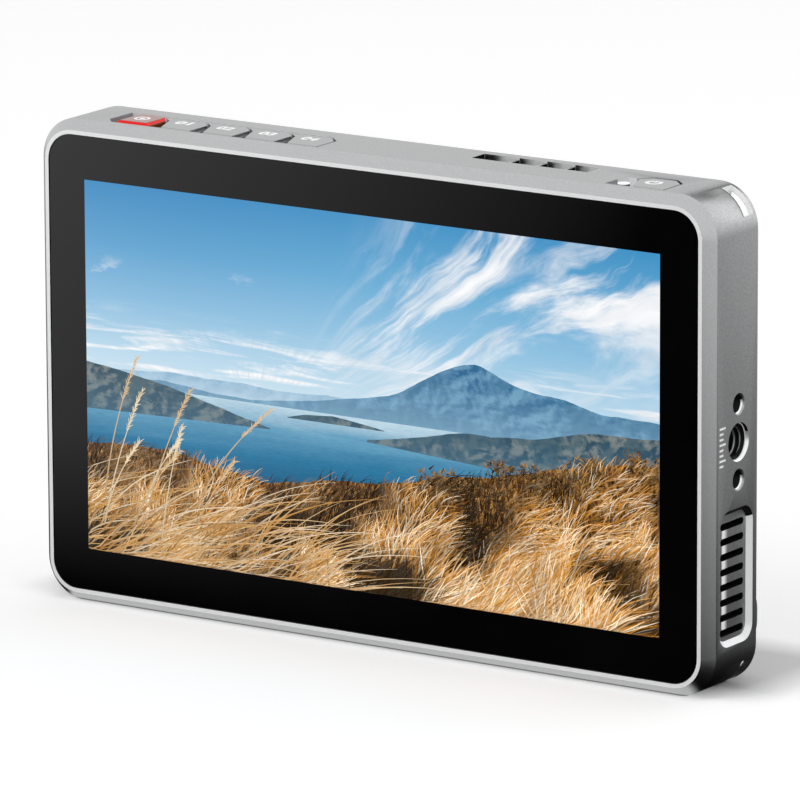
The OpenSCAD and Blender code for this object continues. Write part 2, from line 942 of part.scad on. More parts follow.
module main_board() {
  color("#1f5a3a")
    difference() {
      slab(board_front, board_back)
        translate([board_left, board_low])
          square([board_right - board_left, board_high - board_low]);
      for (x = standoff_xs, z = standoff_zs)
        rod_y(x, z, screw_r + shank_gap, board_front - cut, board_back + cut);
    }
}

module board_screws() {
  color("#8f9194")
    for (x = standoff_xs, z = standoff_zs)
      pan_screw(x, z, board_back, board_back - bracket_back - tip_gap);
}

module processor_chip() {
  color("#26282b")
    slab(board_back, board_back + chip_t)
      translate([chip_x, chip_z])
        square(chip_w, center = true);
}

module memory_chips() {
  color("#2b2d30")
    for (x = [-1, 1])
      slab(board_back, board_back + memory_t)
        translate([chip_x - memory_offset, chip_z + x * memory_pitch / 2])
          square([memory_w, memory_h], center = true);
}

module thermal_pad() {
  color("#9fb4c4")
    slab(board_back + chip_t, board_back + chip_t + pad_t)
      translate([chip_x, chip_z])
        square(chip_w - 1, center = true);
}

module heat_sink() {
  base = board_back + chip_t + pad_t;
  pitch = (sink_h - fin_t) / (fin_count - 1);
  color("#b9bcc0") {
    slab(base, base + sink_base)
      translate([chip_x, chip_z])
        square([sink_w, sink_h], center = true);
    for (i = [0 : fin_count - 1])
      slab(base + sink_base - cut / 2, cover_front - sink_gap)
        translate([chip_x, chip_z + (i - (fin_count - 1) / 2) * pitch])
          square([sink_w, fin_t], center = true);
  }
}

// ---- Blower ----

module blower_outline(margin) {
  half = blower_half - margin;
  translate([fan_x - half, fan_z - half])
    square([blower_right - fan_x + half, 2 * half]);
}

module blower_room() {
  room = fan_r + blower_gap;
  translate([fan_x, fan_z])
    circle(r = room);
  translate([fan_x, fan_z - room])
    square([blower_right - fan_x + cut, 2 * room]);
}

module blower_housing() {
  color("#2a2b2e")
    difference() {
      slab(blower_front, blower_back)
        blower_outline(0);
      slab(blower_front + blower_floor, blower_back + cut)
        blower_room();
      rod_y(fan_x, fan_z, axle_r + shank_gap, blower_front - cut, blower_back);
    }
}

module blower_cover() {
  intake_r = fan_r * intake_share;
  color("#3a3b3e")
    difference() {
      slab(blower_back, blower_back + blower_lid_t)
        blower_outline(0);
      rod_y(fan_x, fan_z, intake_r, blower_back - cut, blower_back + blower_lid_t + cut);
    }
}

module fan_axle() {
  color("#c9cbce")
    rod_y(fan_x, fan_z, axle_r, blower_front, wheel_back - rotor_gap);
}

module fan_stator() {
  color("#b06a35")
    difference() {
      rod_y(fan_x, fan_z, hub_r - hub_wall - rotor_gap, blower_front + blower_floor,
            wheel_back - crown_t - rotor_gap);
      rod_y(fan_x, fan_z, sleeve_r + rotor_gap, blower_front, wheel_back);
    }
}

module fan_rotor() {
  color("#17181a")
    difference() {
      union() {
        rod_y(fan_x, fan_z, hub_r, wheel_front, wheel_back);
        rod_y(fan_x, fan_z, fan_r, wheel_front, wheel_front + disc_t);
        for (i = [0 : blade_count - 1])
          slab(wheel_front, wheel_back)
            translate([fan_x, fan_z])
              rotate(i * 360 / blade_count)
                translate([hub_r - hub_wall / 2, -blade_t / 2])
                  square([fan_r - hub_r + hub_wall / 2 - blade_short, blade_t]);
      }
      difference() {
        rod_y(fan_x, fan_z, hub_r - hub_wall, wheel_front - cut, wheel_back - crown_t);
        rod_y(fan_x, fan_z, sleeve_r, wheel_front, wheel_back);
      }
      rod_y(fan_x, fan_z, axle_r + axle_gap, wheel_front - cut, wheel_back + cut);
    }
}

// ---- Keys ----

// Profile of a cap across its width: beveled at the top of both ends
module cap_profile(from, to, low, top, bevel) {
  polygon([
    [from, low],
    [from, top - bevel],
    [from + bevel, top],
    [to - bevel, top],
    [to, top - bevel],
    [to, low]
  ]);
}

// Moving cap with its stem at x, cut from its outline, its rear edge at back
module key_cap(x, back, rise, bevel) {
  top = body_h + rise;
  low = body_h - key_t;
  rod_z(x, stem_depth, stem_r, plunger_top, low + key_t / 2);
  intersection() {
    translate([x, 0, 0])
      top_slab(low, top)
        children();
    side_slab(x - key_len, x + key_len)
      cap_profile(key_front, back, low, top, bevel);
  }
}

module function_key(i) {
  color("#9da0a3")
    key_cap(key_xs[i], key_back, 0, key_bevel)
      key_outline(-1, 0);
}

module red_outline() {
  half = key_len / 2;
  polygon([
    [-red_left, key_front],
    [half, key_front],
    [half, key_corner],
    [half + key_corner - red_back, red_back],
    [-red_left, red_back]
  ]);
}

module record_button() {
  x = key_xs[0];
  color("#e0211b")
    intersection() {
      key_cap(x, red_back, red_rise, red_bevel)
        red_outline();
      slab(0, body_d)
        cap_profile(x - red_left, x + key_len / 2, key_board_low, body_h + red_rise, red_bevel);
    }
}

module function_button_1() { function_key(1); }

module function_button_2() { function_key(2); }

module function_button_3() { function_key(3); }

module function_button_4() { function_key(4); }

module power_button() {
  color("#9da0a3")
    key_cap(power_x, key_back, 0, key_bevel)
      key_outline(1, 0);
}

module plunger(x) {
  color("#1c1c1e")
    rod_z(x, stem_depth, plunger_r, switch_top - plunger_dip, plunger_top);
}

module record_plunger() { plunger(key_xs[0]); }

module function_plunger_1() { plunger(key_xs[1]); }

module function_plunger_2() { plunger(key_xs[2]); }

module function_plunger_3() { plunger(key_xs[3]); }

module function_plunger_4() { plunger(key_xs[4]); }

module power_plunger() { plunger(power_x); }

module switch_housings() {
  color("#cfd1d3")
    for (x = concat(key_xs, [power_x]))
      difference() {
        top_slab(key_board_high, switch_top)
          translate([x, stem_depth])
            square(switch_w, center = true);
        rod_z(x, stem_depth, plunger_r + stem_gap, key_board_high + switch_floor,
              switch_top + cut);
      }
}

module key_board() {
  left = key_xs[0] - key_post_offset - key_post_r;
  right = key_xs[last_key] + key_post_offset + key_post_r;
  color("#1f5a3a")
    top_slab(key_board_low, key_board_high)
      translate([left, key_board_front])
        square([right - left, key_board_back - key_board_front]);
}

module power_key_board() {
  color("#1f5a3a")
    top_slab(key_board_low, key_board_high)
      translate([power_board_x - power_board_half, key_board_front])
        square([2 * power_board_half, key_board_back - key_board_front]);
}

module status_light_pipe() {
  color("#f6fff6")
    rod_z(light_x, light_depth, light_r, key_board_high, body_h);
}

// ---- Back ----

module bulge_outline() {
  translate([0, (bulge_low + bulge_high) / 2])
    round_rect(bulge_w, bulge_high - bulge_low, bulge_r);
}

module cover_outline() {
  translate([0, mid_z])
    round_rect(rear_w - 2 * cover_gap, rear_h - 2 * cover_gap, rear_r - cover_gap);
}

module column_outline() {
  low = bulge_high - bulge_r;
  translate([0, (low + column_high) / 2])
    round_rect(column_w, column_high - low, column_r);
}

module grille_cut() {
  low = bulge_high + grille_gap;
  high = fan_z + fan_r + grille_gap;
  for (i = [0 : grille_count - 1])
    slab(cover_front - cut, body_d + cut)
      translate([fan_x + (i - (grille_count - 1) / 2) * grille_pitch, (low + high) / 2])
        rotate(90)
          round_slot(high - low, grille_slot);
}

module rear_cover() {
  hollow = bulge_high - bulge_low - 2 * wall;
  color("#4a4c50")
    difference() {
      union() {
        slab(cover_front, body_d)
          cover_outline();
        slab(body_d - cover_t / 2, total_d)
          intersection() {
            bulge_outline();
            cover_outline();
          }
        slab(body_d + fit, total_d)
          bulge_outline();
        slab(body_d - cover_t / 2, mount_front)
          column_outline();
      }
      slab(cover_front - cut, total_d - wall)
        translate([0, (bulge_low + bulge_high) / 2])
          square([2 * (case_screw_x - case_boss_r - 1), hollow], center = true);
      slab(cover_front - cut, mount_front - column_wall)
        translate([0, (mount_screw_zs[0] + mount_screw_zs[1]) / 2])
          square([column_w - 2 * wall - 2,
                  mount_screw_zs[1] - mount_screw_zs[0] - 2 * (head_r + screw_margin)],
                 center = true);
      at_corners() {
        rod_y(case_screw_x, case_screw_z, screw_r + shank_gap, cover_front - cut, body_d);
        rod_y(case_screw_x, case_screw_z, head_r + fit, body_d - head_t - fit, total_d + cut);
      }
      for (x = [-mount_screw_x, mount_screw_x], z = mount_screw_zs)
        rod_y(x, z, screw_r + shank_gap, cover_front + fit, mount_front + cut);
      slab(pocket_floor, mount_front + cut)
        translate([0, (pocket_low + pocket_high) / 2])
          square([latch_w + 2 * (latch_flange + latch_gap), pocket_high - pocket_low],
                 center = true);
      grille_cut();
    }
}

module case_screws() {
  color("#6e7073")
    at_corners()
      pan_screw(case_screw_x, case_screw_z, body_d - head_t - fit,
                body_d - head_t - case_boss_front - 2 * cut);
}

module battery_mount() {
  mid = (mount_low + mount_high) / 2;
  rail_x = mount_w / 2 - rail_t;
  color("#1b1c1e")
    difference() {
      union() {
        slab(mount_front, mount_face)
          translate([0, mid])
            round_rect(mount_w, mount_high - mount_low, mount_r);
        for (x = [0, 1], z = hook_zs)
          mirror([x, 0, 0]) {
            slab(mount_face - mount_t / 2, total_d)
              translate([rail_x, z])
                square([rail_t, hook_len]);
            slab(total_d - hook_t, total_d)
              translate([rail_x - hook_reach, z])
                square([hook_reach + rail_t / 2, hook_len]);
          }
      }
      slab(mount_front - cut, total_d + cut)
        translate([-latch_w / 2 - latch_gap, latch_z - latch_h / 2 - latch_gap])
          square([latch_w + 2 * latch_gap, latch_h + latch_travel + 2 * latch_gap]);
      for (x = [-mount_screw_x, mount_screw_x], z = mount_screw_zs) {
        rod_y(x, z, screw_r + shank_gap, mount_front - cut, total_d);
        rod_y(x, z, head_r + fit, mount_face - head_t, total_d);
      }
      for (x = contact_xs)
        slab(mount_face - mount_t / 2, total_d)
          translate([x, contact_z])
            square([contact_w + 2 * contact_gap, contact_h + 2 * contact_gap], center = true);
    }
}

module battery_mount_screws() {
  color("#6e7073")
    for (x = [-mount_screw_x, mount_screw_x], z = mount_screw_zs)
      pan_screw(x, z, mount_face - head_t, mount_face - head_t - cover_front - tip_gap);
}

module battery_contacts() {
  color("#d8b25a")
    for (x = contact_xs)
      slab(mount_face - mount_t / 2, total_d - fit)
        translate([x, contact_z])
          square([contact_w, contact_h], center = true);
}

module battery_latch() {
  color("#c23a22")
    difference() {
      union() {
        slab(latch_flange_front, latch_flange_back)
          translate([0, latch_z])
            square([latch_w + 2 * latch_flange, latch_h + 2 * latch_flange], center = true);
        slab(latch_flange_front, total_d - fit)
          translate([0, latch_z])
            square([latch_w, latch_h], center = true);
      }
      for (i = [-1 : 1])
        slab(total_d - grip_depth, total_d)
          translate([0, latch_z + i * grip_pitch])
            square([latch_w - 2 * grip_margin, grip_w], center = true);
    }
}

// Wound wire: rings of points along a helix, joined ring to ring
module coil(r, wire, turns, height) {
  sides = 6;
  turn_steps = 12;
  steps = turns * turn_steps;
  points = [
    for (i = [0 : steps], j = [0 : sides - 1])
      let (a = i * 360 / turn_steps, b = j * 360 / sides, rr = r + wire * cos(b))
        [rr * cos(a), rr * sin(a), i * height / steps + wire * sin(b)]
  ];
  walls = [
    for (i = [0 : steps - 1], j = [0 : sides - 1])
      let (k = (j + 1) % sides)
        [i * sides + j, (i + 1) * sides + j, (i + 1) * sides + k, i * sides + k]
  ];
  first = [for (j = [0 : sides - 1]) j];
  last = [for (j = [0 : sides - 1]) steps * sides + sides - 1 - j];
  polyhedron(points = points, faces = concat([first], walls, [last]));
}

module latch_spring() {
  room = pocket_high - latch_flange_top;
  color("#d0d2d4")
    translate([0, front_y + spring_depth, latch_flange_top + spring_wire + fit / 2])
      coil(spring_r, spring_wire, spring_turns, room - 2 * spring_wire - fit);
}

// ---- Sockets ----

// Metal shell round a tongue, its mouth on the left side
module blade_socket(z, w, t) {
  left = socket_sink - half_w;
  right = socket_end;
  translate([0, 0, z])
    difference() {
      side_slab(left, right)
        translate([socket_depth, 0])
          square([t, w], center = true);
      difference() {
        side_slab(left - cut, right - back_t)
          translate([socket_depth, 0])
            square([t - 2 * shell_t, w - 2 * shell_t], center = true);
        side_slab(left + 1, right)
          translate([socket_depth, 0])
            square([t * tongue_t, w * tongue_w], center = true);
      }
    }
}

module video_in_socket() {
  color("#b8babd")
    blade_socket(video_in_z, video_w, video_t);
}

module video_out_socket() {
  color("#b8babd")
    blade_socket(video_out_z, video_w, video_t);
}

module usb_socket() {
  color("#b8babd")
    blade_socket(usb_z, usb_w, usb_t);
}

module power_jack() {
  left = socket_sink - half_w;
  color("#1b1c1e")
    difference() {
      side_slab(left, socket_end)
        translate([socket_depth, jack_z])
          square(jack_w, center = true);
      difference() {
        rod_x(socket_depth, jack_z, jack_r, left - cut, socket_end - back_t);
        rod_x(socket_depth, jack_z, jack_pin_r, left + 1, socket_end);
      }
    }
}

module audio_jack() {
  left = socket_sink - half_w;
  color("#1b1c1e")
    difference() {
      rod_x(socket_depth, audio_z, audio_r, left, socket_end);
      rod_x(socket_depth, audio_z, audio_bore, left - cut, socket_end + cut);
    }
}

// ---- Threads ----

// Threaded sleeve along +Z in a boss of the given length
module thread_insert(boss_len) {
  color("#8d8f92")
    difference() {
      translate([0, 0, insert_sink])
        cylinder(r = insert_r, h = boss_len - insert_short - insert_sink);
      cylinder(r = thread_bore, h = boss_len);
    }
}

module side_thread_insert() {
  translate([half_w, front_y + thread_depth, side_thread_z])
    rotate([0, -90, 0])
      thread_insert(side_boss_len);
}

module bottom_thread_insert() {
  translate([0, front_y + thread_depth, 0])
    thread_insert(bottom_boss_len);
}

// ---- Flat cables ----

module screen_flex() {
  low = panel_low - flex_gap - flex_t;
  color("#b5722a")
    side_slab(screen_flex_left, screen_flex_left + screen_flex_w)
      polygon([
        [panel_front + flex_gap, low],
        [board_front - flex_gap, low],
        [board_front - flex_gap, board_low + flex_lap],
        [board_front - flex_gap - flex_t, board_low + flex_lap],
        [board_front - flex_gap - flex_t, low + flex_t],
        [panel_front + flex_gap, low + flex_t]
      ]);
}

module key_flex() {
  color("#b5722a")
    slab(board_back + flex_gap, board_back + flex_gap + flex_t)
      translate([key_flex_left, board_high - flex_lap])
        square([key_flex_w, key_board_low - flex_gap - board_high + flex_lap]);
}

module power_flex() {
  bend_z = board_high - power_flex_drop;
  left = board_right - 2 * flex_lap;
  right = power_board_x + power_flex_w / 2;
  color("#b5722a")
    slab(board_back + flex_gap, board_back + flex_gap + flex_t)
      polygon([
        [left, bend_z],
        [right, bend_z],
        [right, key_board_low - flex_gap],
        [right - power_flex_w, key_board_low - flex_gap],
        [right - power_flex_w, bend_z + power_flex_w],
        [left, bend_z + power_flex_w]
      ]);
}

main_housing();
cover_glass();
glass_adhesive();
lcd_panel();
backlight_unit();
panel_bracket();
bracket_screws();
main_board();
board_screws();
processor_chip();
memory_chips();
thermal_pad();
heat_sink();
blower_housing();
blower_cover();
fan_axle();
fan_stator();
fan_rotor();
key_board();
power_key_board();
switch_housings();
status_light_pipe();
record_button();
record_plunger();
function_button_1();
function_plunger_1();
function_button_2();
function_plunger_2();
function_button_3();
function_plunger_3();
function_button_4();
function_plunger_4();
power_button();
power_plunger();
rear_cover();
case_screws();
battery_mount();
battery_mount_screws();
battery_contacts();
battery_latch();
latch_spring();
video_in_socket();
video_out_socket();
usb_socket();
power_jack();
audio_jack();
side_thread_insert();
bottom_thread_insert();
screen_flex();
key_flex();
power_flex();
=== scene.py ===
"""Field monitor for a camera: the looks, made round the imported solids.

Lengths are millimetres in the functions below and metres in the meshes. X runs to the right as the
screen is read, Y from the glass to the back, Z up. Depths are counted back from the case's front rim.
"""

import json
import math

import bmesh
import bpy
import numpy as np
from mathutils import Matrix, Vector


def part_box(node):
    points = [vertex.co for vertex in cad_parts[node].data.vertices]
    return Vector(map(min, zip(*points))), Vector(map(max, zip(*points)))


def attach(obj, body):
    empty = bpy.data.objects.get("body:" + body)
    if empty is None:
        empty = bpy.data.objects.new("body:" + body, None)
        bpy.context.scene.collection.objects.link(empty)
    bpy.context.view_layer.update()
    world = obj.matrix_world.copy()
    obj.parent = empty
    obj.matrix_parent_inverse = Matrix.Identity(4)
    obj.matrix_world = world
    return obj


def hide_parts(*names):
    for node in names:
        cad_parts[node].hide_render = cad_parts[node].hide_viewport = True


bl_info = {
    "name": "Field Monitor",
    "version": (1, 0, 0),
    "blender": (4, 5, 0),
    "location": "3D View > Sidebar > Monitor",
    "description": "Dresses the solids of a camera field monitor with finished surfaces and a lit picture",
    "category": "Object",
}

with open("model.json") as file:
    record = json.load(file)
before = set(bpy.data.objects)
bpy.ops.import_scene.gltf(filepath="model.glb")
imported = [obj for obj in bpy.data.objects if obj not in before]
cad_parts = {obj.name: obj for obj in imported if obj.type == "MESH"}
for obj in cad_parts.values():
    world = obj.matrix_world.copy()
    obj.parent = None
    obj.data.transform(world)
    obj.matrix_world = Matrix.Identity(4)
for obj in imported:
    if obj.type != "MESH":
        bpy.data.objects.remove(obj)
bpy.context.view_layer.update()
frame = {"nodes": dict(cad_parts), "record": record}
NODES = frame["nodes"]
BODY_OF = {n: b for b, names in frame["record"]["behaviour"]["bodies"].items() for n in names}
SLOT_OF = {row["node"]: row["material_slot"] for row in frame["record"]["subparts"]}

MM = 0.001


def node_box(name):
    """Lowest and highest corner of a CAD node, in millimetres."""
    low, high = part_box(name)
    return np.array(low) / MM, np.array(high) / MM


CASE_LOW, CASE_HIGH = node_box("main_housing")
FRONT = CASE_LOW[1]
HALF_W = CASE_HIGH[0]
CASE_H = CASE_HIGH[2]
GLASS_LOW, GLASS_HIGH = node_box("cover_glass")
PANEL_LOW, PANEL_HIGH = node_box("lcd_panel")

# The lit picture lies inside the display panel's dead border
PANEL_BORDER = 2.7
PICTURE_LEFT = PANEL_LOW[0] + PANEL_BORDER
PICTURE_LOW = PANEL_LOW[2] + PANEL_BORDER
PICTURE_W = PANEL_HIGH[0] - PANEL_BORDER - PICTURE_LEFT
PICTURE_H = PANEL_HIGH[2] - PANEL_BORDER - PICTURE_LOW
# Distance from one layer of the picture to the next
LAYER = 0.005
# Radius of the case's corners, depth of the bar behind a corner slot and width of the slot
CORNER_R = 7.6
HOOD_BAR = 1.2
HOOD_SLOT = 3.2
# How far ink stands off what it is printed on
INK = 0.006
# Quarter inch screw, 20 turns to the inch
THREAD_PITCH = 1.27
THREAD_BORE = 2.55
THREAD_R = 3.175
# Middle of the sleeve in the side, and the distance from it to the holes for locating pins
SIDE_THREAD = sum(node_box("side_thread_insert")) / 2
PIN_OFFSET = 6.7
# Lowest and highest X of the openings in the top
KEY_GROOVE = (-58.5, -12)
POWER_POCKET = (47, 60)
TOP_VENTS = (16, 40.3)
VENT_LEFT = 17.75
VENT_PITCH = 5.75
# Lowest and highest Z of the outlet in the side, and of the bars in it
OUTLET_UP = (8, 34)
OUTLET_BARS = (11.9, 30.6)


# ---- Meshes ----


def new_piece(name, mesh, body, material=None):
    """Links a finished mesh as a piece that rides on a body and takes the given material, if any."""
    piece = bpy.data.objects.new(name, mesh)
    bpy.context.scene.collection.objects.link(piece)
    if material is not None:
        mesh.materials.clear()
        mesh.materials.append(material)
    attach(piece, body)
    return piece


def mesh_from(name, points, faces, smooth=True):
    """Mesh of points in millimetres and faces that all have the same number of corners."""
    mesh = bpy.data.meshes.new(name)
    points = np.asarray(points, float).reshape(-1, 3) * MM
    faces = np.asarray(faces, int)
    count, corners = faces.shape
    mesh.vertices.add(len(points))
    mesh.vertices.foreach_set("co", points.astype(np.float32).ravel())
    mesh.loops.add(count * corners)
    mesh.loops.foreach_set("vertex_index", faces.astype(np.int32).ravel())
    mesh.polygons.add(count)
    mesh.polygons.foreach_set("loop_start", np.arange(0, count * corners, corners, dtype=np.int32))
    mesh.update(calc_edges=True)
    mesh.validate()
    mesh.polygons.foreach_set("use_smooth", np.full(len(mesh.polygons), smooth))
    return mesh


def grid_faces(rows, cols, close_rows=False, close_cols=False, first=0):
    """Quads of a grid of rows by cols points, stored row by row; a closed way joins its end to its start."""
    r = np.arange(rows if close_rows else rows - 1)
    c = np.arange(cols if close_cols else cols - 1)
    r, c = np.meshgrid(r, c, indexing="ij")
    r2, c2 = (r + 1) % rows, (c + 1) % cols
    quads = np.stack([r * cols + c, r2 * cols + c, r2 * cols + c2, r * cols + c2], -1)
    return quads.reshape(-1, 4) + first


def turn_outward(mesh):
    """Merges doubles, then points every face outward."""
    shell = bmesh.new()
    shell.from_mesh(mesh)
    bmesh.ops.remove_doubles(shell, verts=shell.verts, dist=1e-7)
    bmesh.ops.recalc_face_normals(shell, faces=shell.faces)
    shell.to_mesh(mesh)
    shell.free()
    mesh.update()
    return mesh


def merged_copy(node, name):
    """Copy of a CAD node's mesh with its doubles merged and its flat faces joined."""
    mesh = NODES[node].data.copy()
    mesh.name = name
    shell = bmesh.new()
    shell.from_mesh(mesh)
    bmesh.ops.remove_doubles(shell, verts=shell.verts, dist=1e-7)
    bmesh.ops.dissolve_limit(shell, angle_limit=math.radians(0.3), verts=shell.verts, edges=shell.edges)
    shell.to_mesh(mesh)
    shell.free()
    for layer in list(mesh.uv_layers):
        mesh.uv_layers.remove(layer)
    mesh.materials.clear()
    mesh.update()
    return mesh


def soften(piece, width):
    """Rounds the piece's edges by a width in millimetres and shades its curves smooth."""
    mesh = piece.data
    angle = math.radians(30)
    mesh.polygons.foreach_set("use_smooth", np.ones(len(mesh.polygons), bool))
    mesh.set_sharp_from_angle(angle=angle)
    bevel = piece.modifiers.new("soft_edges", "BEVEL")
    bevel.width = width * MM
    bevel.segments = 2
    bevel.limit_method = "ANGLE"
    bevel.angle_limit = angle
    bevel.use_clamp_overlap = True
    bevel.harden_normals = True
    bevel.miter_outer = "MITER_ARC"


def dressed(node, name, materials, width):
    """Copy of a CAD node with softened edges, which stands for the node."""
    piece = new_piece(name, merged_copy(node, name), BODY_OF[node])
    for material in materials:
        piece.data.materials.append(material)
    soften(piece, width)
    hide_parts(node)
    return piece


def face_data(mesh):
    """Middles in millimetres and normals of a mesh's faces, as arrays."""
    middles = np.empty(len(mesh.polygons) * 3)
    normals = np.empty(len(mesh.polygons) * 3)
    mesh.polygons.foreach_get("center", middles)
    mesh.polygons.foreach_get("normal", normals)
    return middles.reshape(-1, 3) / MM, normals.reshape(-1, 3)


def ribbon(path, width):
    """Left and right edge points of a flat band: its middle line plus and minus half its width times the
    line's unit normal, which comes from the differences of its points."""
    path = np.asarray(path, float)
    along = np.gradient(path, axis=0)
    along /= np.linalg.norm(along, axis=1, keepdims=True)
    across = np.stack([-along[:, 1], along[:, 0]], -1) * width / 2
    return np.stack([path + across, path - across], 1)


def boxes(centres, sizes):
    """Points and faces of upright boxes: middles plus half sizes times the corners' signs."""
    centres = np.asarray(centres, float)[:, None, :]
    x, y, z = np.meshgrid([-0.5, 0.5], [-0.5, 0.5], [-0.5, 0.5], indexing="ij")
    corners = np.stack([x.ravel(), y.ravel(), z.ravel()], -1)
    sides = np.array([[0, 1, 3, 2], [4, 6, 7, 5], [0, 4, 5, 1], [2, 3, 7, 6], [0, 2, 6, 4], [1, 5, 7, 3]])
    points = centres + corners[None] * np.asarray(sizes, float)
    faces = sides[None] + len(corners) * np.arange(len(centres))[:, None, None]
    return points.reshape(-1, 3), faces.reshape(-1, 4)


def flat_text(words, height, width):
    """Points about zero and faces of flat text in the built-in letters, as tall and wide as said."""
    curve = bpy.data.curves.new("letters", "FONT")
    curve.body = words
    curve.resolution_u = 6
    curve.offset = 0.055
    maker = bpy.data.objects.new("letters", curve)
    mesh = bpy.data.meshes.new_from_object(maker)
    points = np.empty(len(mesh.vertices) * 3)
    mesh.vertices.foreach_get("co", points)
    points = points.reshape(-1, 3)[:, :2]
    faces = [tuple(face.vertices) for face in mesh.polygons]
    bpy.data.objects.remove(maker)
    bpy.data.curves.remove(curve)
    bpy.data.meshes.remove(mesh)
    low, high = points.min(0), points.max(0)
    return (points - (low + high) / 2) / (high - low) * (width, height), faces


def printed(name, points, faces, body):
    """Piece of flat white ink from points in millimetres and faces of any number of corners."""
    mesh = bpy.data.meshes.new(name)
    mesh.from_pydata((np.asarray(points) * MM).tolist(), [], [tuple(map(int, face)) for face in faces])
    mesh.update()
    return new_piece(name, mesh, body, finish("mark"))


# ---- Materials ----


class Value:
    """A number, place or colour in a shader's tree that can be calculated with."""

    # Leaves sums with numpy's numbers to this class
    __array_ufunc__ = None

    def __init__(self, socket):
        self.socket = socket
        self.tree = socket.id_data

    def calc(self, operation, *others, clamp=False):
        return calc(self.tree, operation, self, *others, clamp=clamp)

    def __add__(self, other):
        return self.calc("ADD", other)

    def __sub__(self, other):
        return self.calc("SUBTRACT", other)

    def __rsub__(self, other):
        return calc(self.tree, "SUBTRACT", other, self)

    def __mul__(self, other):
        return self.calc("MULTIPLY", other)

    def __truediv__(self, other):
        return self.calc("DIVIDE", other)

    def __gt__(self, other):
        return self.calc("GREATER_THAN", other)

    def __lt__(self, other):
        return self.calc("LESS_THAN", other)

    def __abs__(self):
        return self.calc("ABSOLUTE")

    def max(self, other, clamp=False):
        return self.calc("MAXIMUM", other, clamp=clamp)

    def remap(self, low, high, to_low=0.0, to_high=1.0, smooth=False):
        """Runs from one value to another where this one goes from low to high."""
        inputs = {"Value": self, "From Min": low, "From Max": high, "To Min": to_low, "To Max": to_high}
        kind = "SMOOTHSTEP" if smooth else "LINEAR"
        return Value(put(self.tree, "ShaderNodeMapRange", inputs, interpolation_type=kind).outputs["Result"])

    def ease(self, low, high, to_high=1.0):
        """Runs smoothly from 0 where this one is low."""
        return self.remap(low, high, 0.0, to_high, True)

    def within(self, low, high, soft=0.03):
        """1 from low to high and 0 outside, with soft ends."""
        return self.remap(low - soft, low) * self.remap(high + soft, high)


def feed(socket, value):
    """Links a value to a socket, or sets the socket to a plain one."""
    if isinstance(value, Value):
        value.tree.links.new(value.socket, socket)
    else:
        socket.default_value = value


def put(tree, kind, inputs=None, **settings):
    """Adds a node, with its settings, and values for its inputs."""
    made = tree.nodes.new(kind)
    for name, value in settings.items():
        setattr(made, name, value)
    for name, value in (inputs or {}).items():
        feed(made.inputs[name], value)
    return made


def outputs(made):
    """A node's outputs by name."""
    return {socket.name: Value(socket) for socket in made.outputs}


def calc(tree, operation, *values, clamp=False):
    inputs = dict(enumerate(values))
    return Value(put(tree, "ShaderNodeMath", inputs, operation=operation, use_clamp=clamp).outputs[0])


def distance(x, y):
    return (x * x + y * y).calc("SQRT")


def object_place(tree):
    """Object coordinates, in metres."""
    return Value(put(tree, "ShaderNodeTexCoord").outputs["Object"])


def stretch(place, by, then=(0, 0, 0)):
    """A place times one vector and plus another."""
    inputs = {0: place, 1: by, 2: then}
    return Value(put(place.tree, "ShaderNodeVectorMath", inputs, operation="MULTIPLY_ADD").outputs[0])


def parts(place):
    """X, Y and Z of a place."""
    found = outputs(put(place.tree, "ShaderNodeSeparateXYZ", {0: place}))
    return found["X"], found["Y"], found["Z"]


def object_parts(tree):
    """Object coordinates apart, in millimetres."""
    return parts(stretch(object_place(tree), (1 / MM, 1 / MM, 1 / MM)))


def noise(place, scale, detail=2.0, rough=0.5, distortion=0.0):
    inputs = {
        "Vector": place, "Scale": scale, "Detail": detail, "Roughness": rough, "Distortion": distortion}
    return Value(put(place.tree, "ShaderNodeTexNoise", inputs).outputs["Fac"])


def mix(share, a, b, how="MIX"):
    """Colour between two colours by a share, or the second one's effect on the first."""
    tree = next(value.tree for value in (share, a, b) if isinstance(value, Value))
    inputs = {0: share, 6: a, 7: b}
    made = put(tree, "ShaderNodeMix", inputs, data_type="RGBA", blend_type=how, clamp_factor=True)
    return Value(made.outputs[2])


def toned(colour, tone):
    """Colour times a grey tone."""
    grey = put(tone.tree, "ShaderNodeCombineColor", {"Red": tone, "Green": tone, "Blue": tone})
    return mix(1.0, colour, Value(grey.outputs[0]), "MULTIPLY")


def ramp(value, *stops):
    """Colour ramp over (place, colour) stops."""
    made = put(value.tree, "ShaderNodeValToRGB", {"Fac": value})
    elements = made.color_ramp.elements
    while len(elements) < len(stops):
        elements.new(0.5)
    for element, (place, colour) in zip(elements, stops):
        element.position = place
        element.color = (*colour[:3], 1.0)
    return Value(made.outputs["Color"])


def srgb(r, g, b):
    """Linear opaque colour of an sRGB colour given from 0 to 255."""
    c = np.array([r, g, b]) / 255
    return (*np.where(c <= 0.04045, c / 12.92, ((c + 0.055) / 1.055) ** 2.4), 1)


def grey(level):
    return (level, level, level, 1)


# Kinds of sockets by how many numbers their values have
SOCKET_KINDS = {1: "NodeSocketFloat", 3: "NodeSocketVector", 4: "NodeSocketColor"}
# Outputs of an effect group that feeds a shader
SURFACE_OUTPUTS = {"Colour": (0, 0, 0, 1), "Roughness": 0.0, "Normal": (0, 0, 0)}


